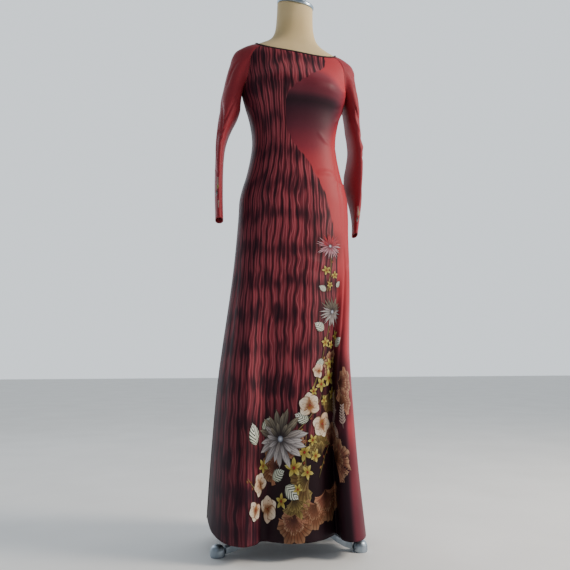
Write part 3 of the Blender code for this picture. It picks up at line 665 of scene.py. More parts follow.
front_cloth = laid_out(front_flat)
back_cloth = laid_out(back_flat)
right_cloth = laid_out(right_flat, around=True)
left_cloth = laid_out(left_flat, around=True, flip=True)
laid = {"front": front_cloth, "back": back_cloth, "right": right_cloth, "left": left_cloth}
for name, cloth in laid.items():
    centre = cloth.points.mean(axis=(0, 1))
    outward = float(((cloth.points - centre) * cloth.normals).sum(2).mean())
    print(name, "normals point out:", round(outward, 3))

# %% [markdown]
# ## Folds and creases placed one by one
#
# Hung satin falls in a few long soft flutes, pulls in short slanting creases at the armpit, the elbow and
# the hip, and keeps faint lines from having been folded. A simulation would find folds of its own, not these,
# so each is a short path on the cloth with a half width and a depth in millimetres: minus for a trough,
# plus for a ridge. They differ in length, depth and spacing, as the real ones do.

# %% Press the folds into a cloth
Fold = namedtuple("Fold", "path half_width depth")
FRONT_FOLDS = [
    Fold([(0.817, 1.150), (0.800, 1.065), (0.770, 0.990), (0.780, 0.900), (0.800, 0.790)], 5.0, -2.4),
    Fold([(0.790, 0.860), (0.822, 0.760), (0.830, 0.600), (0.810, 0.410), (0.775, 0.230)], 6.0, -4.5),
    Fold([(0.868, 0.960), (0.872, 0.780), (0.872, 0.600), (0.862, 0.420), (0.850, 0.250)], 10.0, 3.0),
    Fold([(0.930, 0.900), (0.928, 0.640), (0.930, 0.380)], 9.0, -2.6),
    Fold([(0.183, 1.150), (0.200, 1.065), (0.215, 0.960), (0.205, 0.820)], 6.0, -1.4),
    Fold([(0.300, 0.900), (0.290, 0.640), (0.300, 0.380), (0.330, 0.150)], 13.0, -3.2),
    Fold([(0.235, 0.760), (0.228, 0.500), (0.238, 0.240)], 11.0, 2.2),
    Fold([(0.420, 0.820), (0.410, 0.560), (0.395, 0.330)], 12.0, -1.8),
    Fold([(0.545, 0.860), (0.550, 0.620), (0.560, 0.360), (0.550, 0.120)], 12.0, 1.8),
    Fold([(0.640, 0.800), (0.655, 0.560), (0.668, 0.320), (0.660, 0.130)], 9.0, -2.2),
    Fold([(0.110, 0.800), (0.105, 0.540), (0.120, 0.260)], 9.0, -1.8),
    Fold([(0.045, 0.860), (0.050, 0.600)], 7.0, 1.2),
    Fold([(0.930, 1.262), (0.840, 1.235), (0.760, 1.226)], 5.0, -1.6),
    Fold([(0.945, 1.243), (0.870, 1.205), (0.800, 1.190)], 6.0, 3.0),
    Fold([(0.970, 1.318), (0.915, 1.296), (0.845, 1.292)], 6.0, 3.0),
    Fold([(0.060, 1.260), (0.140, 1.232), (0.220, 1.222)], 5.0, -1.4),
    Fold([(0.075, 1.238), (0.150, 1.200)], 5.2, 2.0),
    Fold([(0.985, 1.345), (0.930, 1.325), (0.850, 1.316)], 4.5, -1.4),
    Fold([(0.592, 1.030), (0.670, 1.036), (0.750, 1.033)], 7.0, 2.6),
    Fold([(0.735, 1.016), (0.820, 1.005), (0.905, 1.014)], 7.5, 2.8),
    Fold([(0.620, 1.150), (0.700, 1.128), (0.790, 1.120)], 5.5, 2.0),
    Fold([(0.360, 1.118), (0.260, 1.110), (0.160, 1.122)], 5.0, -1.3),
    Fold([(0.960, 1.135), (0.890, 1.118), (0.830, 1.120)], 4.5, -1.4),
    Fold([(0.415, 0.792), (0.510, 0.784), (0.615, 0.776)], 8.0, 3.2),
    Fold([(0.430, 0.768), (0.520, 0.758), (0.605, 0.752)], 7.5, -3.4),
    Fold([(0.842, 0.779), (0.890, 0.773), (0.933, 0.769)], 7.5, -3.4),
    Fold([(0.120, 0.905), (0.200, 0.930), (0.300, 0.925)], 6.0, -1.4),
]
BACK_FOLDS = [
    Fold([(0.190, 1.140), (0.205, 1.050), (0.215, 0.930), (0.220, 0.760)], 6.0, -1.8),
    Fold([(0.810, 1.150), (0.790, 1.040), (0.785, 0.900), (0.775, 0.700)], 6.0, -2.0),
    Fold([(0.300, 0.860), (0.290, 0.600), (0.275, 0.340), (0.270, 0.120)], 11.0, 2.6),
    Fold([(0.370, 0.820), (0.372, 0.560), (0.365, 0.300)], 10.0, -2.8),
    Fold([(0.520, 0.900), (0.515, 0.640), (0.522, 0.360), (0.520, 0.130)], 13.0, -3.2),
    Fold([(0.610, 0.780), (0.640, 0.520), (0.655, 0.260)], 11.0, 2.2),
    Fold([(0.730, 0.840), (0.735, 0.540), (0.745, 0.240)], 10.0, -2.4),
    Fold([(0.880, 0.780), (0.882, 0.500), (0.890, 0.220)], 9.0, 1.8),
    Fold([(0.120, 0.800), (0.118, 0.560), (0.105, 0.300)], 9.0, -2.0),
    Fold([(0.300, 1.128), (0.420, 1.118), (0.560, 1.124)], 6.0, -1.2),
    Fold([(0.440, 1.098), (0.580, 1.090), (0.700, 1.098)], 6.0, -1.0),
    Fold([(0.350, 1.160), (0.480, 1.152), (0.600, 1.158)], 7.0, 0.8),
    Fold([(0.060, 1.262), (0.160, 1.235), (0.250, 1.228)], 5.0, -1.2),
    Fold([(0.940, 1.260), (0.850, 1.238), (0.770, 1.236)], 5.0, -1.2),
    Fold([(0.300, 1.350), (0.330, 1.290), (0.345, 1.240)], 7.0, -0.7),
]
RIGHT_FOLDS = [
    Fold([(0.050, 1.245), (0.130, 1.195), (0.215, 1.135)], 6.0, -4.7),
    Fold([(0.000, 1.215), (0.080, 1.150), (0.120, 1.060)], 7.0, 3.5),
    Fold([(0.330, 1.262), (0.260, 1.215), (0.215, 1.160)], 6.0, -3.5),
    Fold([(0.300, 1.160), (0.200, 1.140), (0.110, 1.150)], 5.0, -3.0),
    Fold([(0.310, 1.130), (0.230, 1.112), (0.150, 1.118)], 4.5, 2.6),
    Fold([(0.120, 1.040), (0.200, 1.020), (0.290, 1.032)], 5.0, -1.9),
    Fold([(0.150, 1.360), (0.120, 1.320), (0.110, 1.280)], 7.0, -2.6),
    Fold([(0.620, 1.260), (0.700, 1.200), (0.760, 1.130)], 7.0, -3.9),
    Fold([(0.700, 1.150), (0.800, 1.128), (0.880, 1.140)], 5.0, -2.8),
    Fold([(0.640, 1.100), (0.740, 1.080), (0.860, 1.090)], 5.0, 1.9),
]
LEFT_FOLDS = [
    Fold([(0.300, 1.262), (0.230, 1.225), (0.150, 1.205)], 5.5, -3.9),
    Fold([(0.320, 1.235), (0.250, 1.195), (0.180, 1.170)], 5.5, 2.8),
    Fold([(0.040, 1.185), (0.120, 1.160), (0.220, 1.140)], 5.0, -3.5),
    Fold([(0.070, 1.150), (0.160, 1.128), (0.260, 1.118)], 4.5, 2.6),
    Fold([(0.020, 1.130), (0.110, 1.105), (0.210, 1.095)], 4.5, -2.6),
    Fold([(0.110, 1.110), (0.170, 1.010), (0.205, 0.930)], 5.5, -3.9),
    Fold([(0.180, 1.365), (0.130, 1.325), (0.090, 1.300)], 6.0, -3.0),
    Fold([(0.215, 1.345), (0.160, 1.305), (0.120, 1.262)], 6.0, 1.9),
    Fold([(0.620, 1.265), (0.700, 1.205), (0.770, 1.140)], 7.0, -3.9),
    Fold([(0.700, 1.130), (0.790, 1.105), (0.880, 1.115)], 5.0, -3.0),
    Fold([(0.680, 1.070), (0.780, 1.040), (0.860, 1.050)], 5.0, 2.2),
]


def path_on(cloth, path):
    """The path in metres from the middle of the cloth, with three points between each two."""
    fine = []
    for (u, z), (next_u, next_z) in zip(path, path[1:]):
        fine += [(u + (next_u - u) * k / 4, z + (next_z - z) * k / 4) for k in range(4)]
    fine.append(path[-1])
    last = cloth.share.shape[1] - 1
    rows = np.array([np.abs(cloth.height[:, int(u * last)] - z).argmin() for u, z in fine])
    widths = np.abs(cloth.middle[rows, 0]) * 2
    return [((u - 0.5) * width, z) for (u, z), width in zip(fine, widths)]


def how_pressed(cloth, fold):
    points = path_on(cloth, fold.path)
    near = np.full(cloth.height.shape, 9.0)
    along = np.zeros(cloth.height.shape)
    count = len(points) - 1
    width = np.abs(cloth.middle[:, :1]) * 2
    # Round a sleeve the same fold is also met from the other side of the first column.
    for turn in (-1, 0, 1) if cloth.around else (0,):
        across = cloth.middle + turn * width
        for i in range(count):
            (x0, z0), (x1, z1) = points[i], points[i + 1]
            dx, dz = x1 - x0, z1 - z0
            t = np.clip(((across - x0) * dx + (cloth.height - z0) * dz) / (dx * dx + dz * dz), 0, 1)
            distance = np.hypot(across - x0 - dx * t, cloth.height - z0 - dz * t)
            along = np.where(distance < near, (i + t) / count, along)
            near = np.minimum(near, distance)
    profile = np.exp(-((near * 1000 / fold.half_width) ** 2))
    return profile * np.clip(np.sin(math.pi * np.clip(along, 0, 1)), 0, 1) ** 0.6


def ripple(cloth, seed, size):
    """Small uneven waves that no cloth is without, up and down more than across."""
    source = random.Random(seed)
    total = np.zeros(cloth.height.shape)
    for _ in range(7):
        across, along = source.uniform(15, 75), source.uniform(4, 30)
        total += np.sin(cloth.middle * across + cloth.height * along + source.uniform(0, 6.28))
    return total / 7 * size


def edge_fade(cloth, sides, top, low):
    """Nought on a sewn edge and 1 a little way from it, so that the seams still meet."""
    fade = np.clip(cloth.run / top, 0, 1) * np.clip((cloth.run[-1:] - cloth.run) / low, 0.35, 1)
    if not cloth.around:
        fade = fade * np.clip(np.minimum(cloth.share, 1 - cloth.share) / sides, 0, 1)
    return fade


BODY_DEPTH = 0.0011
SKIRT_DEPTH = 0.02
HANGS_BELOW_HIP = 0.10


def pressed(cloth, folds, seed, wave):
    lift = ripple(cloth, seed, wave)
    for fold in folds:
        lift = lift + how_pressed(cloth, fold) * fold.depth * 0.001
    lift = lift * edge_fade(cloth, sides=0.04, top=0.03, low=0.05)
    # On the body the cloth is held close, so nothing is pressed deeper than its ease.
    hanging = np.clip((HIP_Z - HANGS_BELOW_HIP - cloth.height) / HANGS_BELOW_HIP, 0, 1)
    floor = -BODY_DEPTH - hanging * SKIRT_DEPTH
    lift = np.where(cloth.around, lift, np.maximum(lift, floor))
    points = cloth.points + cloth.normals * lift[:, :, None]
    low, high = float(lift.min()) * 1000, float(lift.max()) * 1000
    print("pressed between", round(low, 1), "and", round(high, 1), "mm")
    return points


front_points = pressed(front_cloth, FRONT_FOLDS, 11, 0.0005)
back_points = pressed(back_cloth, BACK_FOLDS, 12, 0.0006)
right_points = pressed(right_cloth, RIGHT_FOLDS, 13, 0.0006)
left_points = pressed(left_cloth, LEFT_FOLDS, 14, 0.0006)

# %% [markdown]
# ## Where the flowers are printed
#
# A spray of printed flowers climbs from the hem along the end of the stripes and thins out towards the hip.
# They are ordinary garden kinds in a layout drawn for this piece: daisies with silver or rose petals, yellow
# stars, cream open blooms, ruffled coral and moss petals, striped leaves, buds and pale twigs. Each row gives
# a kind, a place as share and height, a size in metres and a turn in degrees.

# %% The spray
Print = namedtuple("Print", "kind share z size turn")
SPRAY = [
    Print("ruffle", 0.800, 0.452, 0.059, 250), Print("ruffle", 0.745, 0.490, 0.051, 60),
    Print("ruffle", 0.815, 0.392, 0.049, 300), Print("moss", 0.700, 0.425, 0.056, 200),
    Print("ruffle", 0.705, 0.278, 0.064, 330), Print("ruffle", 0.762, 0.240, 0.072, 290),
    Print("moss", 0.640, 0.262, 0.056, 20), Print("ruffle", 0.660, 0.172, 0.084, 205),
    Print("ruffle", 0.610, 0.142, 0.064, 160), Print("moss", 0.500, 0.166, 0.067, 215),
    Print("ruffle", 0.512, 0.120, 0.077, 180), Print("ruffle", 0.430, 0.236, 0.059, 90),
    Print("moss", 0.575, 0.206, 0.064, 110), Print("ruffle", 0.520, 0.268, 0.051, 40),
    Print("twig", 0.775, 0.352, 0.070, 20), Print("twig", 0.838, 0.330, 0.062, 8),
    Print("twig", 0.735, 0.330, 0.056, 335), Print("twig", 0.812, 0.300, 0.050, 45),
    Print("stem", 0.690, 0.650, 0.230, 176), Print("stem", 0.640, 0.420, 0.120, 150),
    Print("stem", 0.560, 0.215, 0.110, 12), Print("stem", 0.625, 0.205, 0.090, 340),
    Print("stem", 0.335, 0.160, 0.080, 60), Print("stem", 0.668, 0.815, 0.120, 186),
    Print("leaf", 0.640, 0.592, 0.036, 60), Print("leaf", 0.764, 0.548, 0.036, 312),
    Print("leaf", 0.300, 0.292, 0.060, 18), Print("leaf", 0.352, 0.318, 0.048, 336),
    Print("leaf", 0.466, 0.188, 0.054, 232), Print("leaf", 0.402, 0.204, 0.046, 300),
    Print("leaf", 0.560, 0.352, 0.044, 66), Print("leaf", 0.650, 0.506, 0.030, 100),
    Print("leaf", 0.642, 0.700, 0.024, 62), Print("leaf", 0.722, 0.712, 0.022, 318),
    Print("rose_daisy", 0.664, 0.824, 0.040, 20), Print("daisy", 0.696, 0.642, 0.045, 12),
    Print("star", 0.640, 0.756, 0.014, 25), Print("star", 0.702, 0.744, 0.012, 5),
    Print("star", 0.668, 0.716, 0.010, 40), Print("star", 0.748, 0.576, 0.018, 20),
    Print("star", 0.700, 0.552, 0.013, 50), Print("star", 0.656, 0.558, 0.016, 5),
    Print("star", 0.736, 0.508, 0.012, 30), Print("star", 0.690, 0.500, 0.017, 12),
    Print("star", 0.692, 0.462, 0.027, 15), Print("star", 0.632, 0.446, 0.022, 40),
    Print("star", 0.722, 0.420, 0.020, 0), Print("star", 0.655, 0.404, 0.015, 30),
    Print("star", 0.585, 0.428, 0.014, 10), Print("star", 0.546, 0.272, 0.026, 20),
    Print("star", 0.602, 0.262, 0.020, 50), Print("star", 0.350, 0.236, 0.022, 35),
    Print("star", 0.500, 0.234, 0.028, 5), Print("star", 0.562, 0.222, 0.022, 40),
    Print("star", 0.446, 0.150, 0.022, 0), Print("star", 0.586, 0.302, 0.017, 25),
    Print("star", 0.520, 0.180, 0.016, 45), Print("daisy", 0.436, 0.306, 0.080, 16),
    Print("bloom", 0.566, 0.392, 0.034, 10), Print("bloom", 0.640, 0.342, 0.036, 200),
    Print("bloom", 0.326, 0.190, 0.032, 40), Print("bloom", 0.378, 0.128, 0.036, 300),
    Print("bloom", 0.292, 0.130, 0.027, 160), Print("bloom", 0.610, 0.482, 0.020, 80),
]
RIGHT_SPRAY = [
    Print("twig", 0.20, 0.972, 0.040, 10), Print("daisy", 0.17, 0.968, 0.011, 0),
    Print("twig", 0.10, 1.020, 0.024, 340),
    Print("star", 0.22, 0.985, 0.008, 0), Print("twig", 0.24, 0.952, 0.026, 190),
]
LEFT_SPRAY = [
    Print("twig", 0.24, 0.920, 0.036, 350), Print("daisy", 0.25, 0.916, 0.010, 0),
    Print("star", 0.20, 0.935, 0.008, 20),
]
print("printed motifs:", len(SPRAY) + len(RIGHT_SPRAY) + len(LEFT_SPRAY))

# %% [markdown]
# ## The print on the front, as distances
#
# The cloth is printed in three fields: a striped field on the wearer's right, plain red on the left, and plum
# over the left bust and towards the hem. Painted shade is laid into the plum under the bust's fullness and in
# the trough beside the right flute, and the right-most flute, lit by the key light, is painted lighter.
# A picture could be painted on, but a line on the cloth and a distance from it stay crisp at any size. The
# stripes end on a long S from the left of the neckline, round the bust, across the waist and down to the hem.

# %% Distances from the S, and how plum and shaded the cloth is
S_LINE = [
    (0.800, 1.400), (0.767, 1.381), (0.692, 1.347), (0.567, 1.316), (0.475, 1.277), (0.425, 1.254),
    (0.404, 1.230), (0.400, 1.200), (0.410, 1.157), (0.442, 1.125), (0.492, 1.092), (0.545, 1.062),
    (0.568, 1.037), (0.598, 1.012), (0.625, 0.980), (0.658, 0.938), (0.685, 0.880), (0.712, 0.830),
    (0.728, 0.760), (0.730, 0.640), (0.722, 0.500), (0.690, 0.400), (0.600, 0.310), (0.460, 0.250),
    (0.365, 0.190), (0.322, 0.125), (0.305, 0.020),
]
BACK_LINE = [
    (0.100, 1.420), (0.180, 1.360), (0.320, 1.300), (0.430, 1.230), (0.470, 1.150), (0.430, 1.070),
    (0.360, 0.980), (0.300, 0.880), (0.260, 0.740), (0.250, 0.500), (0.300, 0.300), (0.420, 0.160),
    (0.520, 0.020),
]


def signed_distance(cloth, path, side):
    """Metres on the cloth from a line, more than nought on the plain side of it."""
    points = path_on(cloth, path)
    near = np.full(cloth.height.shape, 9.0)
    sign = np.ones(cloth.height.shape)
    for (x0, z0), (x1, z1) in zip(points, points[1:]):
        dx, dz = x1 - x0, z1 - z0
        t = np.clip(((cloth.middle - x0) * dx + (cloth.height - z0) * dz) / (dx * dx + dz * dz), 0, 1)
        off_x, off_z = cloth.middle - x0 - dx * t, cloth.height - z0 - dz * t
        distance = np.hypot(off_x, off_z)
        closer = distance < near
        sign = np.where(closer, np.sign(dx * off_z - dz * off_x), sign)
        near = np.minimum(near, distance)
    return near * sign * side


def steps_between(value, keys, values):
    return np.interp(value, keys, values)


# The edge is crisp over the bust and softens down the skirt, so the distance is counted in edge widths.
edge_width = steps_between(front_cloth.height, [0.30, 0.60, 0.86, 1.05], [0.022, 0.012, 0.0030, 0.0014])
front_plain = signed_distance(front_cloth, S_LINE, 1) / edge_width
back_plain = signed_distance(back_cloth, BACK_LINE, -1) / 0.006
# Over the left bust the plum is partly printed and partly painted shade: its darkest band, just under the
# bust's fullness, is painted shade.
BUST_SHADE_Z = [1.020, 1.075, 1.130, 1.180, 1.215, 1.232, 1.243, 1.256, 1.290, 1.325, 1.345]
BUST_SHADE = [0.00, 0.14, 0.42, 0.72, 0.88, 1.00, 0.90, 0.58, 0.46, 0.26, 0.0]
bust_shade = steps_between(front_cloth.height, BUST_SHADE_Z, BUST_SHADE)
side_reach = steps_between(front_cloth.height, [1.02, 1.13, 1.20, 1.26, 1.35], [0.68, 0.80, 0.90, 0.93, 0.76])
bust_shade = bust_shade * (1 - np.clip((front_cloth.share - side_reach + 0.20) / 0.22, 0, 1) ** 1.5)
low_shade = steps_between(front_cloth.height, [0.10, 0.26, 0.40, 0.52, 0.70], [1.0, 0.88, 0.50, 0.22, 0.0])
# Painted light: the right-most flute, which faces the key light, keeps less of the plum near the hem, so it
# reads lighter.
lit_right_flute = np.clip((front_cloth.share - 0.850) / 0.02, 0, 1)
low_shade = low_shade * (1 - lit_right_flute * (0.45 + 0.35 * np.clip((front_cloth.height - 0.12) / 0.2, 0, 1)))
# Painted shade in the trough beside the right flute, partly over print that darkens there too.
trough_shade_and_print = np.clip(1 - np.abs(front_cloth.share - 0.76) / 0.09, 0, 1)
trough_shade_and_print = trough_shade_and_print * np.clip((0.66 - front_cloth.height) / 0.2, 0, 1) * 0.55
front_plum_and_shade = np.clip(np.maximum(np.maximum(bust_shade, low_shade), trough_shade_and_print), 0, 1)
back_plum = steps_between(back_cloth.height, [0.10, 0.30, 0.60], [0.9, 0.55, 0.0])


def spray_shadow(cloth, rows):
    """A dark ground is printed round the flowers, so they stand out from the cloth."""
    shadow = np.zeros(cloth.height.shape)
    for row in rows:
        if row.kind in ("twig", "stem"):
            continue
        x, z = path_on(cloth, [(row.share, row.z)])[0]
        distance = np.hypot(cloth.middle - x, cloth.height - z) / (row.size * 1.25)
        strength = 0.85 if row.kind in ("ruffle", "moss") else 0.45
        shadow = np.maximum(shadow, strength * np.exp(-(distance**4)))
    return shadow


front_shadow = spray_shadow(front_cloth, SPRAY)
print("plain share of the front:", round(float((front_plain > 0).mean()), 2))

# %% [markdown]
# ## Closed walls of cloth
#
# A single sheet of faces has no edge to catch the light, and a Solidify modifier knows nothing of a hem. So
# each shell is a closed wall 1.2 mm thick, like the satin with its turned edge, and it carries the numbers
# that its print and its weave are drawn from.

# %% Make a wall
def mesh_piece(name, points, faces, values=None, uv=None):
    mesh = bpy.data.meshes.new(name)
    mesh.from_pydata([tuple(point) for point in points], [], faces)
    mesh.shade_smooth()
    for label, numbers in (values or {}).items():
        layer = mesh.attributes.new(label, "FLOAT", "POINT")
        layer.data.foreach_set("value", np.asarray(numbers, dtype=np.float32).ravel())
    if uv is not None:
        corners = np.empty(len(mesh.loops), dtype=np.int32)
        mesh.loops.foreach_get("vertex_index", corners)
        layer = mesh.uv_layers.new(name="cloth")
        layer.data.foreach_set("uv", np.asarray(uv, dtype=np.float32)[corners].ravel())
    piece = bpy.data.objects.new(name, mesh)
    piece.location = AXIS
    bpy.context.scene.collection.objects.link(piece)
    return piece


def wall_faces(rows, columns, around, flip):
    """Faces of an outer grid, of an inner one behind it, and of the rims between them."""
    inner = rows * columns
    spans = columns if around else columns - 1
    faces = []
    for c in range(spans):
        d = (c + 1) % columns
        for r in range(rows - 1):
            a, b = r * columns, (r + 1) * columns
            faces.append((a + c, b + c, b + d, a + d))
            faces.append((inner + a + c, inner + a + d, inner + b + d, inner + b + c))
        last = (rows - 1) * columns
        faces.append((c, d, inner + d, inner + c))
        faces.append((last + c, inner + last + c, inner + last + d, last + d))
    if not around:
        for r in range(rows - 1):
            a, b, e = r * columns, (r + 1) * columns, columns - 1
            faces.append((a, inner + a, inner + b, b))
            faces.append((a + e, b + e, inner + b + e, inner + a + e))
    return [tuple(reversed(face)) for face in faces] if flip else faces


def wall(name, cloth, points, values, flip=False):
    rows, columns = points.shape[:2]
    normals = outward_normals(points, cloth.around, flip)
    inner = points - normals * CLOTH
    both = np.concatenate([points.reshape(-1, 3), inner.reshape(-1, 3)])
    doubled = {label: np.concatenate([grid.ravel(), grid.ravel()]) for label, grid in values.items()}
    flat = np.stack([cloth.middle.ravel(), cloth.run.ravel()], axis=1)
    faces = wall_faces(rows, columns, cloth.around, not flip)
    piece = mesh_piece(name, both, faces, doubled, np.concatenate([flat, flat]))
    print(name, len(faces), "faces")
    return piece


def print_values(cloth, plain, plum, shadow, right_edge):
    """The print lies straight on the flat cloth, so above the underarm the raglan seams cut through it.

    Painted shade darkens the stripes towards the wearer's right, the side away from the key light, and they
    are also darker towards the hem.
    """
    widths = cloth.middle[:, -1] - cloth.middle[:, 0]
    underarm = int(np.argmax(cloth.height[:, 0] <= UNDERARM_Z))
    widths[:underarm] = widths[underarm]
    across = 0.5 + cloth.middle / widths[:, None]
    # Painted shade: darker towards the wearer's right, the side away from the key light.
    painted_side_shade = steps_between(np.abs(across - right_edge), [0.0, 0.14, 0.34], [0.66, 0.36, 0.0])
    from_hem = steps_between(cloth.height, [0.05, 0.22, 0.50], [0.42, 0.26, 0.0])
    deep = np.clip(painted_side_shade + from_hem, 0, 1)
    numbers = {"share": across, "height": cloth.height, "plain": plain, "plum": plum}
    return numbers | {"shadow": shadow, "deep": deep}


front_numbers = print_values(front_cloth, front_plain, front_plum_and_shade, front_shadow, 0.0)
back_numbers = print_values(back_cloth, back_plain, back_plum, back_plum * 0, 1.0)
front_panel = wall("tunic_front", front_cloth, front_points, front_numbers)
back_panel = wall("tunic_back", back_cloth, back_points, back_numbers)
arm_values = {"height": right_cloth.height, "share": right_cloth.share}
right_sleeve = wall("tunic_sleeve_right", right_cloth, right_points, arm_values)
arm_values = {"height": left_cloth.height, "share": left_cloth.share}
left_sleeve = wall("tunic_sleeve_left", left_cloth, left_points, arm_values, flip=True)

# %% [markdown]
# ## The covered form, the binding and the turned metal
#
# The form is padded fibreglass under a stretched jersey, so it is one smooth skin with a sewn seam down each
# side. The binding is a bias strip rolled over the neckline's cut edge, which is a thin tube. The cap and the
# feet were turned on a lathe, and a turned profile gives their round edges.

# %% The form
FORM_ROUND = 132
CLOSER_FROM_Z = 1.24  # the levels lie closer together from the bust up
LEVELS_BELOW = 76
LEVELS_ABOVE = 74


def form_levels():
    low, high = FORM[0].z, FORM[-1].z
    above = np.linspace(CLOSER_FROM_Z, high, LEVELS_ABOVE)
    return list(np.linspace(low, CLOSER_FROM_Z, LEVELS_BELOW)) + list(above[1:])


def make_form():
    low, high = FORM[0].z, FORM[-1].z
    # The base is turned in a little: the height, width and drop of its two extra rings.
    rings = [(low, BASE_SHARE, BASE_DROP), (low, 0.985, 0.004)]
    points, heights, turns = [], [], []
    levels = form_levels()
    for z, scale, drop in rings + [(z, 1.0, 0.0) for z in levels]:
        share = smooth_step(NECK_TILT_FROM, high, z)
        for k in range(FORM_ROUND):
            degrees = 360 * k / FORM_ROUND
            place = tilted(form_point(degrees, z), share)
            points.append((place.x * scale, place.y * scale, place.z - drop))
            heights.append(z)
            turns.append(degrees)
    points = lowered_points(np.array(points))
    faces = []
    count = len(levels) + len(rings)
    for r in range(count - 1):
        for k in range(FORM_ROUND):
            n = (k + 1) % FORM_ROUND
            a, b = r * FORM_ROUND, (r + 1) * FORM_ROUND
            faces.append((a + k, a + n, b + n, b + k))
    faces.append(tuple(reversed(range(FORM_ROUND))))
    last = (count - 1) * FORM_ROUND
    faces.append(tuple(last + k for k in range(FORM_ROUND)))
    turns = np.array(turns)
    off_side = np.minimum(np.minimum(turns, 360 - turns), np.abs(turns - 180))
    values = {"height": np.array(heights), "off_side": off_side}
    return mesh_piece("form_torso", points, faces, values)


form = make_form()
print("form", len(form.data.polygons), "faces")


# %% The binding
def tube(name, centres, radius, sides, values=None):
    points, faces = [], []
    count = len(centres)
    for i, centre in enumerate(centres):
        along = (centres[(i + 1) % count] - centres[i - 1]).normalized()
        across = along.cross(Vector((0, 0, 1))).normalized()
        up = across.cross(along)
        for k in range(sides):
            angle = 2 * math.pi * k / sides
            points.append(centre + (across * math.cos(angle) + up * math.sin(angle)) * radius)
    for i in range(count):
        a, b = i * sides, (i + 1) % count * sides
        for k in range(sides):
            n = (k + 1) % sides
            faces.append((a + k, b + k, b + n, a + n))
    return mesh_piece(name, points, faces, values)


def binding_line(steps):
    line = []
    for i in range(steps):
        degrees = 360 * i / steps
        z = neckline_z(degrees)
        normal = form_normal(degrees, z)
        rise = (form_point(degrees, z + 0.002) - form_point(degrees, z)).normalized()
        on_edge = form_point(degrees, z) + normal * (SEAT_GAP + BIND_RADIUS * BIND_STAND)
        line.append(on_edge + rise * (BIND_RADIUS + SEAM_GAP * 2))
    return [Vector(point) for point in lowered_points(np.array([tuple(point) for point in line]))]


BIND_PLACES = 288
BIND_ROUND = 12
binding = tube("tunic_neck_binding", binding_line(BIND_PLACES), BIND_RADIUS, BIND_ROUND)


# %% The turned cap and feet
def turned_piece(name, profile, steps, place, upright=Vector((0, 0, 1))):
    lean = upright.to_track_quat("Z", "Y").to_matrix()
    points, faces = [], []
    for radius, z in profile:
        for k in range(steps):
            angle = 2 * math.pi * k / steps
            points.append(place + lean @ Vector((radius * math.cos(angle), radius * math.sin(angle), z)))
    for r in range(len(profile) - 1):
        for k in range(steps):
            n = (k + 1) % steps
            a, b = r * steps, (r + 1) * steps
            faces.append((a + k, a + n, b + n, b + k))
    faces.append(tuple(reversed(range(steps))))
    last = (len(profile) - 1) * steps
    faces.append(tuple(last + k for k in range(steps)))
    piece = mesh_piece(name, points, faces)
    piece.data.set_sharp_from_angle(angle=math.radians(40))
    return piece


def softened(profile, size, steps=4):
    """The profile with each corner between two points rounded by up to this size."""
    soft = [profile[0]]
    for before, corner, after in zip(profile, profile[1:], profile[2:]):
        corner = Vector(corner)
        to_before = Vector(before) - corner
        to_after = Vector(after) - corner
        reach = min(size, to_before.length * 0.45, to_after.length * 0.45)
        start = corner + to_before.normalized() * reach
        end = corner + to_after.normalized() * reach
        for k in range(steps + 1):
            t = k / steps
            soft.append(tuple(start * (1 - t) ** 2 + corner * 2 * t * (1 - t) + end * t**2))
    return soft + [profile[-1]]


CAP_PROFILE = [
    (CAP_LIP_RADIUS - 0.003, 0.0),
    (CAP_LIP_RADIUS, 0.002),
    (CAP_LIP_RADIUS, CAP_HEIGHT - 0.004),
    (CAP_LIP_RADIUS - 0.003, CAP_HEIGHT),
    (KNOB_RADIUS, CAP_HEIGHT + 0.001),
    (KNOB_RADIUS * 0.94, CAP_HEIGHT + KNOB_HEIGHT * 0.75),
    (KNOB_RADIUS * 0.70, CAP_HEIGHT + KNOB_HEIGHT),
]
FOOT_PROFILE = [
    (FOOT_RADIUS * 0.92, 0.0),
    (FOOT_RADIUS, 0.003),
    (FOOT_RADIUS * 0.98, FOOT_HEIGHT * 0.55),
    (FOOT_RADIUS * 0.80, FOOT_HEIGHT * 0.85),
    (FOOT_RADIUS * 0.45, FOOT_HEIGHT),
]
forward, sideways = math.tan(math.radians(NECK_TILT_DEG)), math.tan(math.radians(NECK_LEAN_DEG))
cap_up = Vector((sideways, -forward, 1)).normalized()
cap_place = Vector((0, FORM[-1].centre_y, FORM[-1].z)) + cap_up * SEAM_GAP
cap = turned_piece("form_neck_cap", softened(CAP_PROFILE, 0.0015), 96, cap_place, cap_up)
feet = {}
for leg in LEGS:
    angle = math.radians(leg.degrees)
    place = Vector((leg.reach * math.cos(angle), leg.reach * math.sin(angle), 0))
    feet[leg.name] = turned_piece(f"stand_foot_{leg.name}", softened(FOOT_PROFILE, 0.003), 64, place)
print("cap and feet:", len(cap.data.polygons), [len(item.data.polygons) for item in feet.values()])

# %% [markdown]
# ## Drawing a petal
#
# The real flowers are ink in the cloth. At the size of a petal, noise in a material cannot draw a clean
# outline, and a painted picture is not wanted here, so each petal is a small patch of mesh a few tenths of a
# millimetre proud of the cloth. It bends with every fold and takes its colours from how far along the petal
# a point lies and how far from its midrib.

# %% Patches of a motif, in flat metres
def outline(kind, t):
    if kind == "round":
        return math.sin(math.pi * min(0.03 + 0.93 * t, 1.0) ** 0.9) ** 0.55
    if kind == "pointed":
        return math.sin(math.pi * t**0.62) ** 0.9 if 0 < t < 1 else 0.04
    if kind == "star":
        return max((0.55 + 1.6 * t) * (1 - t) ** 0.75, 0.03)
    if kind == "spoon":
        return math.sin(math.pi * t**1.25) ** 0.62 if 0 < t < 1 else 0.06
    return math.sin(math.pi * t**0.85) ** 0.75 if 0 < t < 1 else 0.05


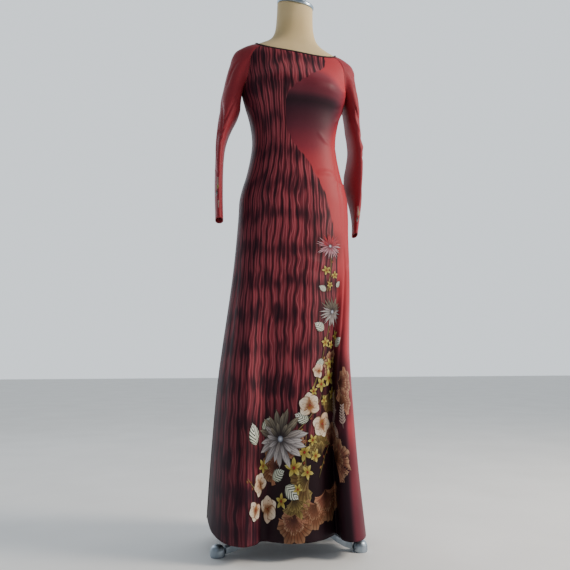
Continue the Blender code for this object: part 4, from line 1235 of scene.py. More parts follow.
def petal(kind, length, width, turn, curl=0.0, base=0.0, rows=9, sides=5):
    angle = math.radians(turn)
    patch, marks = [], []
    for i in range(rows):
        t = i / (rows - 1)
        half = width / 2 * outline(kind, t)
        for k in range(sides):
            side = -1 + 2 * k / (sides - 1)
            x = half * side + curl * length * t * t
            y = base + length * t - 0.06 * length * side * side * t
            cosine, sine = math.cos(angle), math.sin(angle)
            patch.append((x * cosine - y * sine, x * sine + y * cosine))
            marks.append((t, side))
    return rows, sides, patch, marks


def disc(radius, spokes=14):
    patch, marks = [], []
    for t in (0.02, 0.5, 1.0):
        for k in range(spokes + 1):
            angle = 2 * math.pi * k / spokes
            patch.append((radius * t * math.cos(angle), radius * t * math.sin(angle)))
            marks.append((t, 0.0))
    return 3, spokes + 1, patch, marks


def ruffled(radius, turn, source):
    """A wide ruffled petal: a fan whose rim waves in and out."""
    rows, sides = 10, 25
    patch, marks = [], []
    phase = source.uniform(0, 6)
    for i in range(rows):
        t = i / (rows - 1)
        for k in range(sides):
            side = -1 + 2 * k / (sides - 1)
            angle = math.radians(turn + 78 * side * (0.55 + 0.45 * t))
            wave = 1 + t * t * (0.07 * math.sin(side * 13 + phase) + 0.05 * math.sin(side * 29 + phase))
            reach = radius * t * wave * (1 - 0.22 * side * side)
            patch.append((-reach * math.sin(angle), reach * math.cos(angle)))
            marks.append((t, side))
    return rows, sides, patch, marks


def moved(patch, x, y):
    rows, sides, points, marks = patch
    return rows, sides, [(px + x, py + y) for px, py in points], marks


LARGE_DAISY = 0.06


def daisy(size, turn, source, upper, lower):
    """Narrow petals in three rings; the large daisy has rounder ones, and its upper petals are dusky."""
    large = size > LARGE_DAISY
    count, kind, broad = (12, "spoon", 0.26) if large else (19, "pointed", 0.15)
    parts = []
    for ring, reach in enumerate((1.0, 0.82, 0.55)):
        for k in range(count - ring):
            at = turn + 360 * (k + 0.5 * ring) / (count - ring) + source.uniform(-6, 6)
            length = size * reach * source.uniform(0.82, 1.0)
            curl = source.uniform(-0.16, 0.16)
            leans_up = math.cos(math.radians(at)) > source.uniform(0.1, 0.6)
            shape = petal(kind, length, size * broad * (1 - 0.18 * ring), at, curl, size * 0.05)
            parts.append((upper if leans_up else lower, shape))
    parts.append(("silver_centre", disc(size * 0.11)))
    return parts


def star(size, turn, source):
    parts = []
    for k in range(5):
        at = turn + 72 * k + source.uniform(-5, 5)
        parts.append(("yellow", petal("star", size * source.uniform(0.9, 1.05), size * 0.62, at, rows=7)))
    parts.append(("berry", disc(size * 0.17, 8)))
    return parts


def bloom(size, turn, source):
    parts = []
    broad = [(0, 1.0, 1.0), (120, 0.98, 1.0), (240, 1.0, 0.98), (62, 0.94, 1.15), (298, 0.95, 1.15)]
    for at, length, width in broad:
        parts.append(("cream", petal("round", size * length, size * width, turn + at, sides=9)))
    for at in (150, 180, 210):
        angle = turn + at + source.uniform(-6, 6)
        parts.append(("amber", petal("pointed", size * 0.42, size * 0.22, angle, rows=5)))
    parts.append(("berry", disc(size * 0.10, 8)))
    return parts


STEM_WIDTH = 0.0022


# Every motif takes the same three values, also where it draws nothing at random.
def twig(size, turn, source):
    parts = [("pale", petal("round", size, size * 0.035, turn, 0.12))]
    for k in range(7):
        t = 0.18 + 0.12 * k
        lean = math.radians(turn)
        x = -size * t * math.sin(lean) + 0.12 * size * t * t * math.cos(lean)
        y = size * t * math.cos(lean) + 0.12 * size * t * t * math.sin(lean)
        for side in (-1, 1):
            leaflet = petal("leaf", size * (0.30 - 0.02 * k), size * 0.075, turn + side * 46, rows=5, sides=3)
            parts.append(("pale", moved(leaflet, x, y)))
    return parts


def stem(size, turn, source):
    parts = [("green_stem", petal("round", size, STEM_WIDTH, turn, 0.16, rows=15, sides=3))]
    for k in range(5):
        t = 0.25 + 0.16 * k
        lean = math.radians(turn)
        side = 1 if k % 2 else -1
        x = -size * t * math.sin(lean) + (0.16 * size * t * t + side * 0.007) * math.cos(lean)
        y = size * t * math.cos(lean) + (0.16 * size * t * t + side * 0.007) * math.sin(lean)
        parts.append(("bud", moved(petal("leaf", 0.010, 0.006, turn + side * 30, rows=5), x, y)))
    return parts


def motif(row, source):
    """The parts of one motif: the ink and the patch of each."""
    if row.kind == "daisy":
        return daisy(row.size, row.turn, source, "dusk", "silver")
    if row.kind == "rose_daisy":
        return daisy(row.size, row.turn, source, "wine", "rose")
    if row.kind == "leaf":
        return [("leaf", petal("leaf", row.size, row.size * 0.74, row.turn, rows=15, sides=9))]
    if row.kind in ("ruffle", "moss"):
        first = ruffled(row.size, row.turn, source)
        second = ruffled(row.size * 0.66, row.turn + source.uniform(-30, 30), source)
        return [(row.kind, first), (row.kind, second)]
    return {"star": star, "bloom": bloom, "twig": twig, "stem": stem}[row.kind](row.size, row.turn, source)


# %% [markdown]
# ## Laying the patches on the cloth
#
# A patch is drawn flat, so each of its points is looked up on the cloth: its share across and its height
# give a place between four points of the shell, and the print then lies over folds as ink does.

# %% Print a spray on a cloth
INK_LIFT = 0.00030
INK_STEP = 0.000004


def spot_on(cloth, points, normals, share, z):
    columns = points.shape[1]
    spans = columns if cloth.around else columns - 1
    c = share % 1.0 * spans if cloth.around else min(max(share, 0.0), 1.0) * spans
    left = min(int(c), spans - 1)
    next_column = (left + 1) % columns
    heights = cloth.height[:, left] * (1 - (c - left)) + cloth.height[:, next_column] * (c - left)
    start = heights.argmax()
    r = start + np.interp(-z, -heights[start:], np.arange(len(heights) - start))
    above = min(int(r), len(heights) - 2)
    across, down = c - left, r - above
    place, normal = np.zeros(3), np.zeros(3)
    for row, row_share in ((above, 1 - down), (above + 1, down)):
        for column, column_share in ((left, 1 - across), (next_column, across)):
            place += points[row, column] * row_share * column_share
            normal += normals[row, column] * row_share * column_share
    return place, normal / np.linalg.norm(normal)


def width_at(cloth, share, z):
    column = int((share % 1.0) * (cloth.height.shape[1] - 1))
    return abs(float(cloth.middle[np.abs(cloth.height[:, column] - z).argmin(), 0])) * 2


def print_spray(prefix, cloth, points, flip, rows, seed):
    normals = outward_normals(points, cloth.around, flip)
    source = random.Random(seed)
    inks = {}
    layer = 0
    mirrored = -1 if cloth.around and not flip else 1
    for row in rows:
        width = width_at(cloth, row.share, row.z)
        for ink, (count, sides, patch, marks) in motif(row, source):
            store = inks.setdefault(ink, {"points": [], "faces": [], "along": [], "side": [], "tone": []})
            first = len(store["points"])
            tone = source.random()
            layer += 1
            for (x, y), (along, side) in zip(patch, marks):
                place, normal = spot_on(cloth, points, normals, row.share + mirrored * x / width, row.z + y)
                store["points"].append(tuple(place + normal * (INK_LIFT + INK_STEP * layer)))
                store["along"].append(along)
                store["side"].append(side)
                store["tone"].append(tone)
            for r in range(count - 1):
                for k in range(sides - 1):
                    a, b = first + r * sides + k, first + (r + 1) * sides + k
                    store["faces"].append((a, b, b + 1, a + 1))
    made = []
    for ink, store in sorted(inks.items()):
        values = {label: store[label] for label in ("along", "side", "tone")}
        piece = mesh_piece(f"{prefix}_print_{ink}", store["points"], store["faces"], values)
        made.append((ink, piece))
    print(prefix, "prints:", len(made), "with", sum(len(piece.data.polygons) for _, piece in made), "faces")
    return made


front_inks = print_spray("front", front_cloth, front_points, False, SPRAY, 21)
right_inks = print_spray("sleeve_right", right_cloth, right_points, False, RIGHT_SPRAY, 22)
left_inks = print_spray("sleeve_left", left_cloth, left_points, True, LEFT_SPRAY, 23)

# %% [markdown]
# ## Colours and a helper for the materials
#
# Every colour below is written as the sRGB hex value that a dyer's chart would give, and one function turns
# it into the linear numbers that a shader needs. Every node is added by one small function, with its
# settings and its links: a hex value among the settings is a colour, and a node given as a link stands for
# its first output that is in use.

# %% Colours and nodes
def linear(hex_colour):
    shares = [int(hex_colour[i : i + 2], 16) / 255 for i in (1, 3, 5)]
    return (*[s / 12.92 if s <= 0.04045 else ((s + 0.055) / 1.055) ** 2.4 for s in shares], 1.0)


def feed(tree, node, links):
    for key, source in links.items():
        socket = next(out for out in source.outputs if out.enabled) if hasattr(source, "outputs") else source
        tree.links.new(socket, node.inputs[key])


def add(tree, kind, settings=None, links=None):
    node = tree.nodes.new(kind)
    for key, value in (settings or {}).items():
        if isinstance(key, str) and hasattr(node, key):
            setattr(node, key, value)
        else:
            node.inputs[key].default_value = linear(value) if isinstance(value, str) else value
    feed(tree, node, links or {})
    return node


def colour_stops(node, stops):
    ramp = node.color_ramp
    while len(ramp.elements) < len(stops):
        ramp.elements.new(0.5)
    for element, (place, colour) in zip(ramp.elements, stops):
        element.position = place
        element.color = linear(colour)
    return node


def new_material(name, **sockets):
    material = bpy.data.materials.new(name)
    material.use_nodes = True
    tree = material.node_tree
    shader = tree.nodes["Principled BSDF"]
    for key, value in sockets.items():
        shader.inputs[key.replace("_", " ")].default_value = value
    return material, tree, shader


def soft(low, high, first, last):
    """Settings for a smooth change from one value to another, for the edges of lines and smudges."""
    span = {"From Min": low, "From Max": high, "To Min": first, "To Max": last}
    return {"interpolation_type": "SMOOTHSTEP"} | span


# %% [markdown]
# ## Stretch satin
#
# The cloth is a polyester stretch satin, woven so that long warp floats lie on its face. They give a soft
# broad gloss along the cloth rather than a mirror, so the roughness is high and the mirror part is weak.
# Real floats lie about 0.3 mm apart; here they are drawn 1.2 mm apart, as fine as the picture can show.

# %% The weave that all the satins share
FLOATS_PER_METRE = 830.0
WEFT_PER_METRE = 140.0


def satin_weave(tree, shader):
    flat = add(tree, "ShaderNodeUVMap", {"uv_map": "cloth"})
    stretched = add(
        tree, "ShaderNodeMapping", {"Scale": (FLOATS_PER_METRE, WEFT_PER_METRE, 1.0)}, {"Vector": flat}
    )
    floats = add(
        tree, "ShaderNodeTexNoise", {"Scale": 1.0, "Detail": 2.0, "Roughness": 0.6}, {"Vector": stretched}
    )
    relief = add(tree, "ShaderNodeBump", {"Strength": 0.16, "Distance": 0.0004}, {"Height": floats})
    feed(tree, shader, {"Normal": relief})
    return floats


SATIN = {"Roughness": 0.5, "IOR": 1.45, "Specular_IOR_Level": 0.16}


# %% [markdown]
# ## The printed satin of the front and the back
#
# The striped field imitates a tied and dyed cloth. Thin dark lines waver down it, a paler line runs beside
# most of them, and soft dark smudges sit in bands about 90 mm apart where the ties were. Lines from a plain
# wave would be too even, so noise shifts each one sideways, thickens it and breaks the bands up.

# %% Stripes
LINES_ACROSS = 25.0
BANDS_PER_METRE = 2 * math.pi / 0.092
LINE_SWAY = 0.95  # how many lines' spacing the noise moves a line by
LINE_SWELL = -0.34  # the noise takes this off the distance to a line, which thickens it
PALE_SWAY = 0.42  # how far the noise moves the pale line, in lines' spacing
PALE_OFF = 0.52  # how far from the dark line the pale one runs, in lines' spacing
BAND_SWAY = 5.0  # in radians
BAND_STRENGTH = 0.13
TONGUES = -1.6  # how far past the red the dark lines reach at the end of the stripes

# Each kind of unevenness: how many times it changes across the panel, and in a metre down, and its detail.
UNEVEN = {
    "waver": (11.0, 13.0, 1.0),
    "swell": (50.0, 13.0, 2.0),
    "streak": (150.0, 7.0, 3.0),
    "smudge": (42.0, 10.0, 2.0),
}


def stripe_field(tree):
    """The dark lines, the pale lines, the smudges and the fine streaks over the whole panel."""
    share = add(tree, "ShaderNodeAttribute", {"attribute_name": "share"}).outputs["Fac"]
    height = add(tree, "ShaderNodeAttribute", {"attribute_name": "height"}).outputs["Fac"]
    place = add(tree, "ShaderNodeCombineXYZ", None, {"X": share, "Y": height})
    noise = {}
    for name, (across, down, detail) in UNEVEN.items():
        scaled = add(tree, "ShaderNodeMapping", {"Scale": (across, down, 1.0)}, {"Vector": place})
        noise[name] = add(tree, "ShaderNodeTexNoise", {"Scale": 1.0, "Detail": detail}, {"Vector": scaled})
    waver = noise["waver"]
    counted = add(tree, "ShaderNodeMath", {"operation": "MULTIPLY", 1: LINES_ACROSS}, {0: share})
    shifted = add(tree, "ShaderNodeMath", {"operation": "MULTIPLY_ADD", 1: LINE_SWAY}, {0: waver, 2: counted})
    part = add(tree, "ShaderNodeMath", {"operation": "FRACT"}, {0: shifted})
    centred = add(tree, "ShaderNodeMath", {"operation": "SUBTRACT", 1: 0.5}, {0: part})
    off_line = add(tree, "ShaderNodeMath", {"operation": "ABSOLUTE"}, {0: centred})
    thinned = {0: noise["swell"], 2: off_line}
    thinned = add(tree, "ShaderNodeMath", {"operation": "MULTIPLY_ADD", 1: LINE_SWELL}, thinned)
    dark = add(tree, "ShaderNodeMapRange", soft(-0.13, 0.04, 0.84, 0.0), {"Value": thinned})
    beside = add(tree, "ShaderNodeMath", {"operation": "MULTIPLY_ADD", 1: PALE_SWAY}, {0: waver, 2: off_line})
    beside_off = add(tree, "ShaderNodeMath", {"operation": "SUBTRACT", 1: PALE_OFF}, {0: beside})
    beside_near = add(tree, "ShaderNodeMath", {"operation": "ABSOLUTE"}, {0: beside_off})
    pale = add(tree, "ShaderNodeMapRange", soft(0.0, 0.06, 0.66, 0.0), {"Value": beside_near})
    turned = add(tree, "ShaderNodeMath", {"operation": "MULTIPLY", 1: BANDS_PER_METRE}, {0: height})
    swayed = add(tree, "ShaderNodeMath", {"operation": "MULTIPLY_ADD", 1: BAND_SWAY}, {0: waver, 2: turned})
    wave = add(tree, "ShaderNodeMath", {"operation": "SINE"}, {0: swayed})
    banded = {0: wave, 2: noise["smudge"]}
    banded = add(tree, "ShaderNodeMath", {"operation": "MULTIPLY_ADD", 1: BAND_STRENGTH}, banded)
    smudged = add(tree, "ShaderNodeMapRange", soft(0.36, 0.78, 0.0, 0.88), {"Value": banded})
    return dark, pale, smudged, noise["streak"]


# %% Printed satin
def printed_satin(name):
    material, tree, shader = new_material(name, **SATIN)
    dark, pale, smudged, streak = stripe_field(tree)
    ramp = add(tree, "ShaderNodeValToRGB", None, {"Fac": streak})
    ground = colour_stops(ramp, [(0.34, "#58222D"), (0.52, "#84343E"), (0.70, "#A1464E")])
    # Each layer of dye: how strong it is, what lies under it, and its colour.
    lit = add(tree, "ShaderNodeMix", {"data_type": "RGBA", "B": "#C0666E"}, {"Factor": pale, "A": ground})
    smoky = add(tree, "ShaderNodeMix", {"data_type": "RGBA", "B": "#22101C"}, {"Factor": smudged, "A": lit})
    striped = add(tree, "ShaderNodeMix", {"data_type": "RGBA", "B": "#1C0D17"}, {"Factor": dark, "A": smoky})
    # Painted shade: the stripes darken towards the wearer's right, away from the key light, and they also
    # darken towards the hem.
    deep = add(tree, "ShaderNodeAttribute", {"attribute_name": "deep"}).outputs["Fac"]
    darker = {"Factor": deep, "A": striped}
    stripes_with_side_shade = add(tree, "ShaderNodeMix", {"data_type": "RGBA", "B": "#2B1320"}, darker)
    # The plain field, from red to plum; the plum holds painted shade under the bust and in the trough beside
    # the right flute.
    plum = add(tree, "ShaderNodeAttribute", {"attribute_name": "plum"}).outputs["Fac"]
    plain_colour = colour_stops(
        add(tree, "ShaderNodeValToRGB", None, {"Fac": plum}),
        [(0.0, "#AC383F"), (0.30, "#7C2C38"), (0.62, "#562430"), (0.90, "#331924"), (1.0, "#27141D")],
    )
    # The stripes end on the S, each dark line a little further out than the red beside it.
    distance = add(tree, "ShaderNodeAttribute", {"attribute_name": "plain"}).outputs["Fac"]
    tongue = add(tree, "ShaderNodeMath", {"operation": "MULTIPLY_ADD", 1: TONGUES}, {0: dark, 2: distance})
    plain = add(tree, "ShaderNodeMapRange", soft(-1.0, 1.0, 0.0, 1.0), {"Value": tongue})
    fields = {"Factor": plain, "A": stripes_with_side_shade, "B": plain_colour}
    cloth = add(tree, "ShaderNodeMix", {"data_type": "RGBA"}, fields)
    # A dark ground is printed under the flowers.
    shadow = add(tree, "ShaderNodeAttribute", {"attribute_name": "shadow"}).outputs["Fac"]
    under = {"Factor": shadow, "A": cloth}
    grounded = add(tree, "ShaderNodeMix", {"data_type": "RGBA", "B": "#1C0E13"}, under)
    feed(tree, shader, {"Base Color": grounded})
    satin_weave(tree, shader)
    return material


# %% Plain red satin
def red_satin(name):
    material, tree, shader = new_material(name, **SATIN)
    floats = satin_weave(tree, shader)
    ramp = add(tree, "ShaderNodeValToRGB", None, {"Fac": floats})
    feed(tree, shader, {"Base Color": colour_stops(ramp, [(0.30, "#822A33"), (0.70, "#98353D")])})
    return material


# %% [markdown]
# ## Bias binding, jersey, and the metals
#
# The binding is a matt polyester bias strip, so its threads run slantwise. The form's cover is a fine cotton
# jersey: matt, sand-coloured, with knit columns under a millimetre apart and a pressed seam down each side.
# The cap is spun aluminium and the stand is satin-finished steel, both metals with a slightly worn face.

# %% Binding
def bias_binding(name):
    material, tree, shader = new_material(name, Roughness=0.62, IOR=1.5, Sheen_Weight=0.1)
    place = add(tree, "ShaderNodeTexCoord").outputs["Object"]
    threads = add(
        tree,
        "ShaderNodeTexWave",
        {"wave_type": "BANDS", "bands_direction": "DIAGONAL", "Scale": 260.0, "Distortion": 1.0},
        {"Vector": place},
    )
    ramp = add(tree, "ShaderNodeValToRGB", None, {"Fac": threads.outputs["Fac"]})
    relief = add(
        tree, "ShaderNodeBump", {"Strength": 0.3, "Distance": 0.0003}, {"Height": threads.outputs["Fac"]}
    )
    colour = colour_stops(ramp, [(0.2, "#150D12"), (0.8, "#261820")])
    feed(tree, shader, {"Base Color": colour, "Normal": relief})
    return material


# %% Jersey
def cotton_jersey(name):
    material, tree, shader = new_material(name, Roughness=0.86, IOR=1.5, Sheen_Weight=0.1)
    place = add(tree, "ShaderNodeTexCoord").outputs["Object"]
    scaled = add(tree, "ShaderNodeMapping", {"Scale": (1100.0, 1100.0, 420.0)}, {"Vector": place})
    knit = add(tree, "ShaderNodeTexNoise", {"Scale": 1.0, "Detail": 2.0}, {"Vector": scaled})
    slow = add(tree, "ShaderNodeTexNoise", {"Scale": 9.0, "Detail": 3.0}, {"Vector": place})
    ramp = add(tree, "ShaderNodeValToRGB", None, {"Fac": slow})
    dye = colour_stops(ramp, [(0.30, "#D2B785"), (0.70, "#DDC596")])
    off_side = add(tree, "ShaderNodeAttribute", {"attribute_name": "off_side"}).outputs["Fac"]
    seam = add(tree, "ShaderNodeMapRange", soft(0.15, 0.9, 0.0, 1.0), {"Value": off_side})
    shaded = add(tree, "ShaderNodeMix", {"data_type": "RGBA", "A": "#9C8358"}, {"Factor": seam, "B": dye})
    pressed_in = add(tree, "ShaderNodeMath", {"operation": "MULTIPLY_ADD", 1: 0.25}, {0: knit, 2: seam})
    relief = add(tree, "ShaderNodeBump", {"Strength": 0.35, "Distance": 0.0006}, {"Height": pressed_in})
    feed(tree, shader, {"Base Color": shaded, "Normal": relief})
    return material


# %% Metals
def worn_metal(name, colour, worn, roughness, lines):
    material, tree, shader = new_material(name, Metallic=1.0)
    place = add(tree, "ShaderNodeTexCoord").outputs["Object"]
    stretched = add(tree, "ShaderNodeMapping", {"Scale": lines}, {"Vector": place})
    marks = add(tree, "ShaderNodeTexNoise", {"Scale": 1.0, "Detail": 4.0}, {"Vector": stretched})
    ramp = add(tree, "ShaderNodeValToRGB", None, {"Fac": marks})
    worn_face = soft(0.0, 1.0, roughness * 1.25, roughness * 0.8)
    rough = add(tree, "ShaderNodeMapRange", worn_face, {"Value": marks})
    feed(tree, shader, {"Base Color": colour_stops(ramp, [(0.35, worn), (0.60, colour)]), "Roughness": rough})
    return material


# %% Give each piece its finish
cloth_print = printed_satin("printed_stretch_satin")
plain_satin = red_satin("plain_red_stretch_satin")
dark_binding = bias_binding("near_black_bias_binding")
jersey = cotton_jersey("sand_cotton_jersey")
spun_aluminium = worn_metal("spun_aluminium", "#A9B7C4", "#8C9AA8", 0.30, (60.0, 60.0, 900.0))
steel = worn_metal("satin_finished_steel", "#AEB9C4", "#8F9BA6", 0.42, (40.0, 40.0, 8.0))
for piece, finish, slot_name, node in (
    (front_panel, cloth_print, "printed_satin", "front_panel"),
    (back_panel, cloth_print, "printed_satin", "back_panel"),
    (right_sleeve, plain_satin, "red_satin", "sleeve_right"),
    (left_sleeve, plain_satin, "red_satin", "sleeve_left"),
    (binding, dark_binding, "binding", "neck_binding"),
    (form, jersey, "form_cover", "dress_form"),
    (cap, spun_aluminium, "cap_metal", "neck_cap"),
    (feet["right"], steel, "stand_metal", "foot_right"),
    (feet["left"], steel, "stand_metal", "foot_left"),
    (feet["back"], steel, "stand_metal", "foot_back"),
):
    piece.data.materials.append(finish)
    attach(piece, "root")
    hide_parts(node)
for name in ("pole", "hub", "leg_right", "leg_left", "leg_back"):
    for material_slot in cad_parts[name].material_slots:
        material_slot.material = steel
print("materials so far:", len(bpy.data.materials))

# %% [markdown]
# ## Inks
#
# Each ink is the same satin with pigment in it, so it keeps the cloth's gloss. Its colour runs from the
# heart of the flower to the rim, is darker along the midrib and the edge, and differs a little from petal
# to petal. The leaves have dark bars that slant back from the midrib.

# %% Pigment in satin
LEAF_BARS = 5.5
Ink = namedtuple("Ink", "stops other edge ribs rib_strength")
INKS = {
    "silver": Ink(
        [(0.0, "#1E171C"), (0.28, "#5E5858"), (0.62, "#A39C9C"), (1.0, "#CFC8C6")],
        "#8A7F78", "#241A20", 3.0, 0.6,
    ),
    "dusk": Ink(
        [(0.0, "#1A1418"), (0.30, "#3C3534"), (0.65, "#6E665A"), (1.0, "#9A8E7A")],
        "#4A3E38", "#1C1418", 3.0, 0.6,
    ),
    "rose": Ink(
        [(0.0, "#3A1620"), (0.30, "#7C4A56"), (0.65, "#B58A94"), (1.0, "#D6BEC2")],
        "#9A3440", "#3A121C", 3.0, 0.5,
    ),
    "wine": Ink(
        [(0.0, "#30101A"), (0.30, "#7A1F2A"), (0.65, "#B03038"), (1.0, "#C4565A")],
        "#8E4A58", "#2E0E16", 3.0, 0.5,
    ),
    "silver_centre": Ink(
        [(0.0, "#D8DCE4"), (0.6, "#8F95A3"), (1.0, "#4A4854")],
        "#8F95A3", "#4A4854", 0.0, 0.0,
    ),
    "yellow": Ink(
        [(0.0, "#6A4420"), (0.30, "#9C843C"), (0.70, "#B8AC5A"), (1.0, "#C8C184")],
        "#878648", "#54401E", 2.0, 0.35,
    ),
    "berry": Ink(
        [(0.0, "#A8302E"), (1.0, "#5E1A1C")],
        "#7A3A20", "#4A1416", 0.0, 0.0,
    ),
    "cream": Ink(
        [(0.0, "#54301C"), (0.24, "#8E6244"), (0.46, "#CDB79C"), (1.0, "#E2D5C4")],
        "#C9A486", "#7A553C", 4.0, 0.25,
    ),
    "amber": Ink(
        [(0.0, "#5A2A12"), (1.0, "#A8743C")],
        "#8A5A30", "#5A2A12", 0.0, 0.0,
    ),
    "ruffle": Ink(
        [(0.0, "#24110F"), (0.40, "#4A2A24"), (0.78, "#784A3C"), (1.0, "#A88468")],
        "#6A4426", "#A8745A", 15.0, 0.55,
    ),
    "moss": Ink(
        [(0.0, "#1E140F"), (0.40, "#3E301E"), (0.78, "#6A5A34"), (1.0, "#94824E")],
        "#5A3C28", "#84704A", 13.0, 0.55,
    ),
    "leaf": Ink(
        [(0.0, "#C9CDB8"), (1.0, "#E4E6DC")],
        "#B9C2A6", "#3A4038", 0.0, 0.0,
    ),
    "pale": Ink(
        [(0.0, "#9C8379"), (1.0, "#CDBBAE")],
        "#A98F86", "#8E766E", 0.0, 0.0,
    ),
    "green_stem": Ink(
        [(0.0, "#5E5A34"), (1.0, "#8E8450")],
        "#7A5E3A", "#5A4A2C", 0.0, 0.0,
    ),
    "bud": Ink(
        [(0.0, "#54241E"), (1.0, "#96563C")],
        "#A08450", "#5A2420", 0.0, 0.0,
    ),
}


def ink_material(name, ink):
    material, tree, shader = new_material(f"{name}_ink_on_satin", **SATIN)
    along = add(tree, "ShaderNodeAttribute", {"attribute_name": "along"}).outputs["Fac"]
    side = add(tree, "ShaderNodeAttribute", {"attribute_name": "side"}).outputs["Fac"]
    tone = add(tree, "ShaderNodeAttribute", {"attribute_name": "tone"}).outputs["Fac"]
    run = colour_stops(add(tree, "ShaderNodeValToRGB", None, {"Fac": along}), ink.stops)
    share = add(tree, "ShaderNodeMapRange", {"From Min": 0.45, "To Max": 0.62}, {"Value": tone})
    mixed = add(tree, "ShaderNodeMix", {"data_type": "RGBA", "B": ink.other}, {"Factor": share, "A": run})
    off_rib = add(tree, "ShaderNodeMath", {"operation": "ABSOLUTE"}, {0: side})
    edge = add(tree, "ShaderNodeMapRange", soft(0.72, 0.98, 0.0, 0.8), {"Value": off_rib})
    colour = add(tree, "ShaderNodeMix", {"data_type": "RGBA", "B": ink.edge}, {"Factor": edge, "A": mixed})
    if ink.rib_strength:
        turned = add(tree, "ShaderNodeMath", {"operation": "MULTIPLY", 1: ink.ribs * math.pi}, {0: side})
        rib = add(tree, "ShaderNodeMath", {"operation": "COSINE"}, {0: turned})
        cut_in = {"From Min": 0.35, "From Max": 1.0, "To Max": ink.rib_strength}
        cut = add(tree, "ShaderNodeMapRange", cut_in, {"Value": rib})
        ribbed = {"data_type": "RGBA", "B": ink.stops[0][1]}
        colour = add(tree, "ShaderNodeMix", ribbed, {"Factor": cut, "A": colour})
    if name == "leaf":
        back = add(tree, "ShaderNodeMath", {"operation": "MULTIPLY_ADD", 1: -0.42}, {0: off_rib, 2: along})
        bars = add(tree, "ShaderNodeMath", {"operation": "MULTIPLY", 1: LEAF_BARS * 2 * math.pi}, {0: back})
        wave = add(tree, "ShaderNodeMath", {"operation": "SINE"}, {0: bars})
        bar = add(tree, "ShaderNodeMapRange", {"From Min": 0.15, "From Max": 0.5}, {"Value": wave})
        barred = {"Factor": bar, "A": colour}
        colour = add(tree, "ShaderNodeMix", {"data_type": "RGBA", "B": "#1E2622"}, barred)
    feed(tree, shader, {"Base Color": colour})
    return material


ink_materials = {name: ink_material(name, ink) for name, ink in INKS.items()}
front_prints, right_prints, left_prints = [], [], []
for made, prints, slot_name in (
    (front_inks, front_prints, "printed_satin"),
    (right_inks, right_prints, "red_satin"),
    (left_inks, left_prints, "red_satin"),
):
    for ink, piece in made:
        piece.data.materials.append(ink_materials[ink])
        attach(piece, "root")
        prints.append(piece)
printed = len(front_prints) + len(right_prints) + len(left_prints)
print("inks:", len(ink_materials), "printed pieces:", printed)

# %% [markdown]


# %% [markdown]
# ## Floor, light and camera
#
# The stand is photographed from low down, a little to the wearer's right of the middle, in broad daylight
# from the right. A large soft key light on that side, a weak fill and a pale world give the cloth the same
# shape over a plain floor.

# %% Floor
def painted_floor(name):
    material, tree, shader = new_material(name, Roughness=0.7, IOR=1.5)
    place = add(tree, "ShaderNodeTexCoord")
    slow = add(tree, "ShaderNodeTexNoise", {"Scale": 3.0, "Detail": 4.0}, {"Vector": place.outputs["Object"]})
    ramp = add(tree, "ShaderNodeValToRGB", None, {"Fac": slow})
    feed(tree, shader, {"Base Color": colour_stops(ramp, [(0.3, "#E9E8E6"), (0.7, "#F1F0EE")])})
    return material


FLOOR_HALF = 14.0
corners = [(-FLOOR_HALF, -FLOOR_HALF, 0), (FLOOR_HALF, -FLOOR_HALF, 0), (FLOOR_HALF, FLOOR_HALF, 0)]
floor = mesh_piece("floor", corners + [(-FLOOR_HALF, FLOOR_HALF, 0)], [(0, 1, 2, 3)])
floor.data.materials.append(painted_floor("painted_studio_floor"))

# %% Light
def soft_light(name, place, target, size, watts, colour):
    data = bpy.data.lights.new(name, "AREA")
    data.shape = "DISK"
    data.size = size
    data.energy = watts
    data.color = linear(colour)[:3]
    lamp = bpy.data.objects.new(name, data)
    lamp.location = place
    lamp.rotation_euler = (Vector(target) - Vector(place)).to_track_quat("-Z", "Y").to_euler()
    bpy.context.scene.collection.objects.link(lamp)
    return lamp


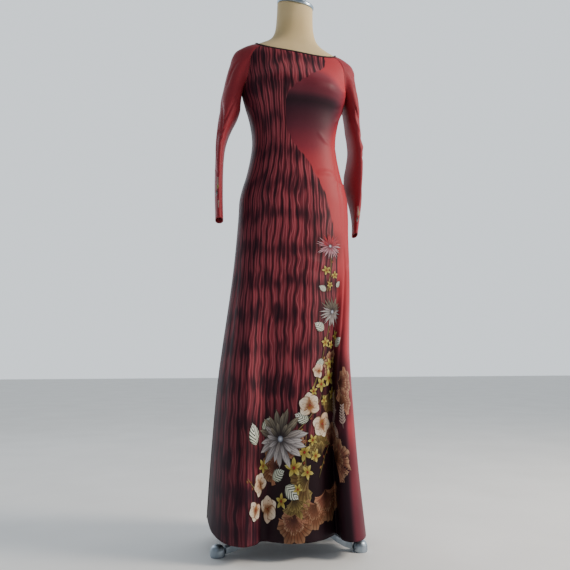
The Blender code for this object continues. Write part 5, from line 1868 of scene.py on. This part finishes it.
soft_light("key_light", (2.5, -1.1, 2.1), (0.0, 0.0, 0.85), 1.0, 96.0, "#FFF4E6")
soft_light("fill_light", (-2.2, -2.6, 1.6), (0.0, 0.0, 0.8), 2.0, 5.0, "#E4EEFF")
soft_light("rim_light", (-1.6, 2.2, 2.0), (0.0, 0.0, 0.9), 1.4, 8.0, "#E8F1FF")
world = bpy.data.worlds.new("pale_daylight")
bpy.context.scene.world = world
world.use_nodes = True
sky = world.node_tree
backdrop = sky.nodes["Background"]
backdrop.inputs["Color"].default_value = linear("#E6EEF4")
# The light is bright behind the stand and dim at the wearer's right, in front.
seen = add(sky, "ShaderNodeTexCoord").outputs["Generated"]
parts = add(sky, "ShaderNodeSeparateXYZ", None, {"Vector": seen})
across = add(sky, "ShaderNodeMath", {"operation": "MULTIPLY", 1: 0.55}, {0: parts.outputs["X"]})
towards = add(sky, "ShaderNodeMath", {"operation": "ADD"}, {0: across, 1: parts.outputs["Y"]})
brightness = add(sky, "ShaderNodeMapRange", soft(-0.7, 0.75, 0.24, 1.30), {"Value": towards})
feed(sky, backdrop, {"Strength": brightness})

# %% Camera
CAMERA_TURN = math.radians(-12.0)
CAMERA_AWAY = 1.84
CAMERA_HEIGHT = 0.52
CAMERA_RISE = math.radians(6.3)
FOCAL_PIXELS = 646.0
PICTURE = 570
AXIS_PIXEL = 294.0
SENSOR_MM = 36.0
right = Vector((math.cos(CAMERA_TURN), math.sin(CAMERA_TURN), 0))
level = Vector((-math.sin(CAMERA_TURN), math.cos(CAMERA_TURN), 0))
ahead = level * math.cos(CAMERA_RISE) + Vector((0, 0, math.sin(CAMERA_RISE)))
above = right.cross(ahead)
eye = AXIS - level * CAMERA_AWAY + Vector((0, 0, CAMERA_HEIGHT))
eye -= right * ((AXIS_PIXEL - PICTURE / 2) / FOCAL_PIXELS * CAMERA_AWAY)
camera_data = bpy.data.cameras.new("camera")
camera_data.sensor_width = SENSOR_MM
camera_data.lens = FOCAL_PIXELS / PICTURE * SENSOR_MM
camera = bpy.data.objects.new("camera", camera_data)
camera.matrix_world = Matrix(
    (
        (right.x, above.x, -ahead.x, eye.x),
        (right.y, above.y, -ahead.y, eye.y),
        (right.z, above.z, -ahead.z, eye.z),
        (0, 0, 0, 1),
    )
)
bpy.context.scene.collection.objects.link(camera)
bpy.context.scene.camera = camera
print("camera", [round(value, 3) for value in eye])
